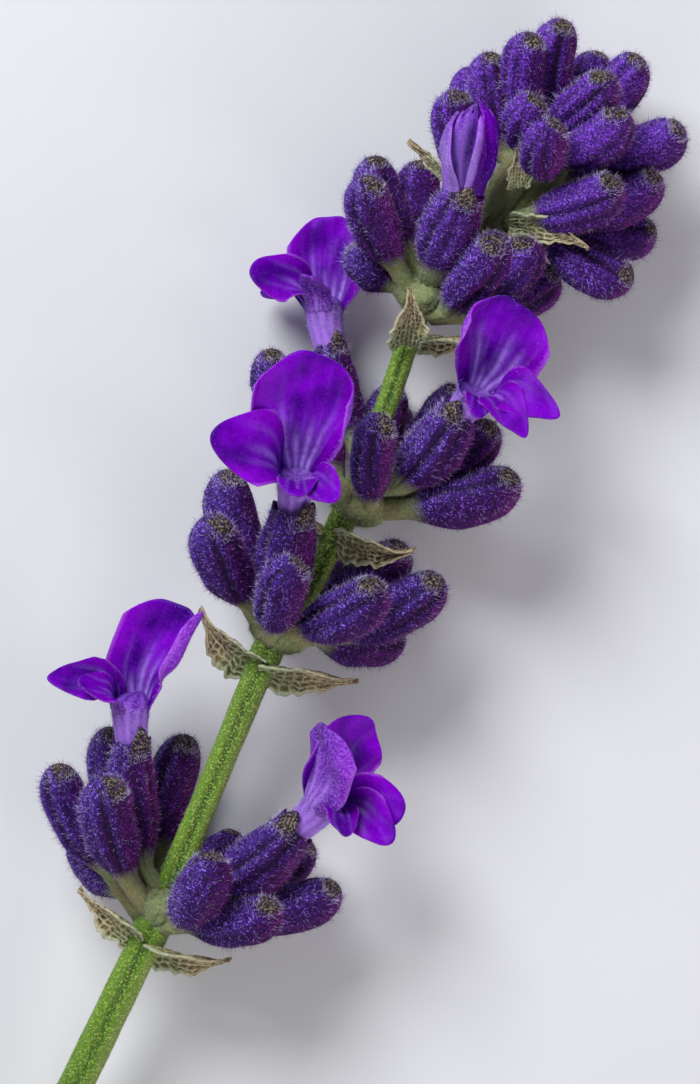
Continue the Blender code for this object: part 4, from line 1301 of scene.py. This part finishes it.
class Graph:
    """Short calls for a material's nodes."""

    def __init__(self, name):
        self.material = bpy.data.materials.new(name)
        self.material.use_nodes = True
        self.tree = self.material.node_tree
        self.surface = self.tree.nodes["Principled BSDF"]
        self.place = self.add("ShaderNodeTexCoord").outputs["Object"]

    def add(self, kind, **values):
        node = self.tree.nodes.new(kind)
        for key, value in values.items():
            setattr(node, key, value)
        return node

    def link(self, value, socket):
        if isinstance(value, bpy.types.NodeSocket):
            self.tree.links.new(value, socket)
        else:
            socket.default_value = value

    def look(self):
        """The four per-point values of the piece."""
        node = self.add("ShaderNodeAttribute", attribute_name="look")
        split = self.add("ShaderNodeSeparateColor")
        self.link(node.outputs["Color"], split.inputs[0])
        return split.outputs[0], split.outputs[1], split.outputs[2], node.outputs["Alpha"]

    def noise(self, scale, detail=3.0, stretch=None):
        node = self.add("ShaderNodeTexNoise")
        node.inputs["Scale"].default_value = scale
        node.inputs["Detail"].default_value = detail
        place = self.place
        if stretch:
            mapping = self.add("ShaderNodeMapping")
            mapping.inputs["Scale"].default_value = stretch
            self.link(place, mapping.inputs["Vector"])
            place = mapping.outputs[0]
        self.link(place, node.inputs["Vector"])
        return node.outputs["Fac"]

    def ramp(self, value, *stops):
        """A colour ramp from (place, colour) stops, or a grey one from (place, number)."""
        node = self.add("ShaderNodeValToRGB")
        steps = node.color_ramp.elements
        while len(steps) < len(stops):
            steps.new(0.5)
        for step, (place, colour) in zip(steps, stops):
            step.position = place
            grey = not isinstance(colour, tuple)
            step.color = (colour, colour, colour, 1.0) if grey else (*colour, 1.0)
        self.link(value, node.inputs[0])
        return node.outputs[0]

    def mix(self, share, first, second, blend="MIX"):
        node = self.add("ShaderNodeMix", data_type="RGBA", blend_type=blend)
        self.link(share, node.inputs[MIX_SHARE])
        for value, socket in ((first, MIX_FIRST), (second, MIX_SECOND)):
            value = (*value, 1.0) if isinstance(value, tuple) else value
            self.link(value, node.inputs[socket])
        return node.outputs[MIX_RESULT]

    def times(self, first, second):
        node = self.add("ShaderNodeMath", operation="MULTIPLY", use_clamp=True)
        self.link(first, node.inputs[0])
        self.link(second, node.inputs[1])
        return node.outputs[0]

    def bumps(self, height, strength, distance):
        node = self.add("ShaderNodeBump")
        node.inputs["Strength"].default_value = strength
        node.inputs["Distance"].default_value = distance
        self.link(height, node.inputs["Height"])
        self.link(node.outputs[0], self.surface.inputs["Normal"])

    def finish(self, colour, roughness, **constants):
        self.link(colour, self.surface.inputs["Base Color"])
        self.link(roughness, self.surface.inputs["Roughness"])
        for name, value in constants.items():
            self.surface.inputs[name.replace("_", " ")].default_value = value
        return self.material


def calyx_material():
    g = Graph("calyx_skin")
    share, ridge, patch, light_and_tone = g.look()
    fine = g.noise(5200.0, 4.0)
    broad = g.noise(650.0, 2.0)
    grains = g.noise(8600.0, 2.0)
    # Near black in the furrows between the ribs: painted shade
    deep = g.mix(broad, (0.003, 0.000, 0.009), (0.012, 0.000, 0.026))
    # The ribs' violet painted by their side to the light: magenta on the far flank, darkest in the
    # middle, bluish on the lit flank; painted light and shade
    painted_light_tint = g.ramp(light_and_tone, (0.10, (0.090, 0.000, 0.105)), (0.38, (0.038, 0.000, 0.078)),
                   (0.62, (0.028, 0.000, 0.088)), (0.92, (0.058, 0.014, 0.210)))
    colour = g.mix(g.ramp(ridge, (0.15, 0.0), (0.95, 1.0)), deep, painted_light_tint)
    # Grains on the ribs painted as bright hair glints, magenta on the far flank and bluish white
    # on the lit one: painted highlights
    glints = g.ramp(light_and_tone, (0.15, (0.40, 0.03, 0.42)), (0.45, (0.16, 0.01, 0.30)),
                    (0.85, (0.36, 0.20, 0.92)))
    bright = g.times(g.ramp(grains, (0.55, 0.0), (0.64, 0.95)),
                     g.ramp(g.noise(1500.0, 2.0), (0.38, 0.25), (0.56, 1.0)))
    colour = g.mix(g.times(bright, g.ramp(ridge, (0.3, 0.1), (0.9, 1.0))), colour, glints)
    colour = g.mix(g.ramp(fine, (0.38, 0.8), (0.48, 0.0)), colour, (0.003, 0.000, 0.008))
    # Young calyces towards the tip turn violet, but only on the flank that faces the light: their
    # own colour with painted light
    split = g.add("ShaderNodeSeparateXYZ")
    g.link(g.place, split.inputs[0])
    young_and_lit = g.ramp(g.times(split.outputs[1], YOUNG_SCALE), (0.60, 0.0), (0.92, 0.75))
    young_and_lit = g.times(young_and_lit, g.ramp(light_and_tone, (0.30, 0.15), (0.85, 1.0)))
    young_and_lit = g.times(young_and_lit, g.ramp(grains, (0.46, 0.12), (0.60, 1.0)))
    colour = g.mix(g.times(young_and_lit, ridge), colour, (0.24, 0.050, 0.68))
    foot = g.ramp(share, (0.0, 1.0), (0.06, 0.9), (0.18, 0.0))
    green = g.mix(fine, (0.090, 0.130, 0.020), (0.40, 0.44, 0.22))
    green = g.mix(g.ramp(broad, (0.50, 0.0), (0.62, 0.55)), green, (0.36, 0.28, 0.13))
    # Darker in the grooves of the calyces' foot and of the collars: painted shade
    green = g.mix(g.times(g.ramp(ridge, (0.05, 1.0), (0.50, 0.0)), 0.6), green,
                  (0.055, 0.050, 0.016))
    colour = g.mix(foot, colour, green)
    speck = g.ramp(grains, (0.40, (0.008, 0.005, 0.005)), (0.52, (0.045, 0.031, 0.022)),
                   (0.64, (0.26, 0.22, 0.16)))
    ragged = g.times(patch, g.ramp(g.noise(2400.0, 3.0), (0.34, 0.5), (0.46, 1.0)))
    colour = g.mix(ragged, colour, speck)
    g.bumps(fine, 0.8, 0.00010)
    return g.finish(colour, 0.75, Sheen_Weight=0.10, Sheen_Tint=(0.60, 0.25, 1.0, 1.0),
                    Specular_IOR_Level=0.2)


def petal_material():
    g = Graph("petal_skin")
    share, edge, streak, outer_and_throat_light = g.look()
    broad = g.noise(420.0, 3.0)
    fine = g.noise(9000.0, 2.0)
    blade = g.mix(g.ramp(broad, (0.38, 0.0), (0.60, 1.0)), (0.050, 0.000, 0.200),
                  (0.190, 0.000, 0.520))
    rosy = g.mix(g.ramp(edge, (0.45, 0.0), (1.0, 0.75)), blade, (0.32, 0.000, 0.68))
    rosy = g.mix(g.ramp(edge, (0.90, 0.0), (1.0, 0.7)), rosy, (0.50, 0.12, 0.86))
    # Petals darker towards their roots, in the hollow of the flower: painted shade
    hollow_shade = g.ramp(share, (0.22, 0.80), (0.65, 0.0))
    rosy = g.mix(hollow_shade, rosy, (0.040, 0.000, 0.160))
    # The tube pale outside; the throat and the petals' inner faces near it painted dark, more so
    # towards the throat's middle: painted shade of the open tube
    near = g.ramp(share, (0.08, 1.0), (0.28, 0.0))
    throat = g.mix(outer_and_throat_light, (0.060, 0.002, 0.180), (0.30, 0.15, 0.54))
    colour = g.mix(near, rosy, throat)
    fade = g.ramp(share, (0.25, 1.0), (0.50, 0.62), (0.80, 0.06))
    broken = g.times(fade, g.ramp(g.noise(1400.0, 3.0), (0.35, 0.7), (0.60, 1.0)))
    colour = g.mix(g.times(streak, broken), colour, (0.50, 0.28, 0.92))
    colour = g.mix(g.times(outer_and_throat_light, 0.16), colour, (0.30, 0.10, 0.66))
    down = g.ramp(fine, (0.44, 0.0), (0.64, 0.50))
    colour = g.mix(g.times(outer_and_throat_light, down), colour, (0.48, 0.22, 0.86))
    speck = g.ramp(fine, (0.54, 0.0), (0.76, 0.26))
    colour = g.mix(speck, colour, (0.40, 0.02, 0.86))
    pits = g.ramp(g.noise(5200.0, 2.0), (0.34, 0.30), (0.46, 0.0))
    colour = g.mix(g.times(pits, g.ramp(share, (0.2, 0.2), (0.4, 1.0))), colour,
                   (0.030, 0.000, 0.110))
    g.bumps(g.noise(3600.0, 4.0), 0.45, 0.00007)
    return g.finish(colour, 0.42, Specular_IOR_Level=0.06,
                    Subsurface_Weight=0.12, Subsurface_Radius=(0.0005, 0.0002, 0.0010),
                    Subsurface_Scale=1.0)


def hair_material():
    g = Graph("hair")
    light_and_tone, share, _, _ = g.look()
    # The hairs' colour scale: bright and dark magenta for hairs on the far flank, dark violet for
    # those in the middle and the furrows, then bluish violet to bluish white towards the light,
    # which is painted light and shade; then brown, tan and pale green hairs. Every hair is darker
    # towards its root
    colour = g.ramp(light_and_tone, (0.0, (0.58, 0.14, 0.62)), (0.12, (0.17, 0.008, 0.22)),
                    (0.28, (0.036, 0.000, 0.100)), (0.42, (0.070, 0.016, 0.300)),
                    (0.56, (0.30, 0.17, 0.78)), (0.72, (0.90, 0.88, 1.0)),
                    (0.76, (0.30, 0.24, 0.16)), (0.88, (0.56, 0.56, 0.40)),
                    (1.0, (0.62, 0.80, 0.50)))
    root = g.ramp(share, (0.0, 0.5), (0.5, 1.0))
    colour = g.mix(1.0, colour, root, "MULTIPLY")
    return g.finish(colour, 0.5, Specular_IOR_Level=0.35)


def stem_material():
    g = Graph("stem_skin")
    share, ridge, groove, light_and_tone = g.look()
    stripes = g.ramp(g.noise(900.0, 3.0, stretch=(1.0, 0.08, 1.0)), (0.35, 0.0), (0.65, 1.0))
    fine = g.noise(8800.0, 3.0)
    colour = g.mix(stripes, (0.020, 0.066, 0.001), (0.095, 0.230, 0.003))
    # The side turned away from the light painted olive tan: painted shade
    shaded = g.ramp(light_and_tone, (0.25, 1.0), (0.75, 0.0))
    colour = g.mix(g.times(shaded, 0.75), colour, (0.160, 0.150, 0.040))
    # The furrows painted dark: painted shade; the ridges turn a lighter green
    colour = g.mix(g.times(groove, 0.75), colour, (0.018, 0.045, 0.003))
    colour = g.mix(g.times(ridge, 0.30), colour, (0.22, 0.34, 0.05))
    colour = g.mix(g.ramp(fine, (0.52, 0.0), (0.62, 0.6)), colour, (0.46, 0.58, 0.10))
    low = g.ramp(share, (0.0, 1.0), (0.30, 0.25), (0.6, 0.0))
    colour = g.mix(g.times(low, 0.35), colour, (0.12, 0.32, 0.004))
    g.bumps(fine, 0.7, 0.00008)
    return g.finish(colour, 0.55, Sheen_Weight=0.04, Specular_IOR_Level=0.3)


def bract_material():
    g = Graph("bract_skin")
    share, net, _, _ = g.look()
    broad = g.noise(900.0, 3.0)
    fine = g.noise(6500.0, 3.0)
    panel = g.ramp(broad, (0.36, (0.080, 0.046, 0.018)), (0.52, (0.170, 0.115, 0.046)),
                   (0.68, (0.32, 0.22, 0.085)))
    rib = g.mix(g.ramp(share, (0.25, 0.0), (0.8, 1.0)), (0.54, 0.56, 0.38), (0.56, 0.46, 0.28))
    colour = g.mix(g.ramp(net, (0.25, 0.0), (0.75, 0.95)), panel, rib)
    colour = g.mix(g.ramp(fine, (0.52, 0.0), (0.66, 0.45)), colour, (0.06, 0.04, 0.016))
    root = g.ramp(share, (0.20, 1.0), (0.50, 0.0))
    colour = g.mix(g.times(root, 0.3), colour, (0.14, 0.22, 0.05))
    g.bumps(fine, 0.7, 0.00008)
    return g.finish(colour, 0.7, Specular_IOR_Level=0.25)


def floor_material():
    g = Graph("floor_paper")
    grain = g.noise(60.0, 4.0)
    fibres = g.noise(1800.0, 3.0)
    colour = g.mix(grain, (0.70, 0.70, 0.71), (0.76, 0.76, 0.76))
    g.bumps(fibres, 0.15, 0.00005)
    return g.finish(colour, 0.85)


def make_floor():
    mesh = bpy.data.meshes.new("floor")
    half = FLOOR_HALF
    corners = [(-half, -half, 0.0), (half, -half, 0.0), (half, half, 0.0), (-half, half, 0.0)]
    mesh.from_pydata(corners, [], [(0, 1, 2, 3)])
    mesh.materials.append(floor_material())
    floor = put_in_scene("floor", mesh)


def softbox(name, place, power, colour):
    """A round lamp that looks at the origin."""
    light = bpy.data.lights.new(name, "AREA")
    light.shape = "DISK"
    light.size = LIGHT_SIZE
    light.energy = power
    light.color = colour
    lamp = put_in_scene(name, light)
    lamp.location = place
    lamp.rotation_euler = (-Vector(place)).to_track_quat("-Z", "Y").to_euler()


def light_studio():
    world = bpy.data.worlds.new("studio")
    world.use_nodes = True
    shade = world.node_tree.nodes["Background"]
    shade.inputs["Color"].default_value = SKY
    shade.inputs["Strength"].default_value = SKY_STRENGTH
    scene = bpy.context.scene
    scene.world = world
    scene.view_settings.view_transform = "Standard"
    for name, (place, power, colour) in LIGHTS.items():
        softbox(name, place, power, colour)


def set_camera():
    """The photograph looks square on at the sprig, which leans to the right in it."""
    lens = bpy.data.cameras.new("camera")
    lens.lens = LENS
    lens.sensor_fit = "VERTICAL"
    lens.sensor_height = SENSOR_HEIGHT
    camera = put_in_scene("camera", lens)
    distance = PICTURE_HEIGHT * lens.lens / lens.sensor_height
    camera.location = (-CENTRE[0] * MM, -CENTRE[1] * MM, PICTURE_LEVEL + distance)
    camera.rotation_euler = (0.0, 0.0, math.radians(PICTURE_LEAN))
    bpy.context.scene.camera = camera


MATERIALS = {
    "calyx": calyx_material(),
    "petal": petal_material(),
    "hair": hair_material(),
    "stem": stem_material(),
    "bract": bract_material(),
}
make_stem()
make_whorls()
make_flowers()
make_bud()
make_bracts()
make_floor()
light_studio()
set_camera()
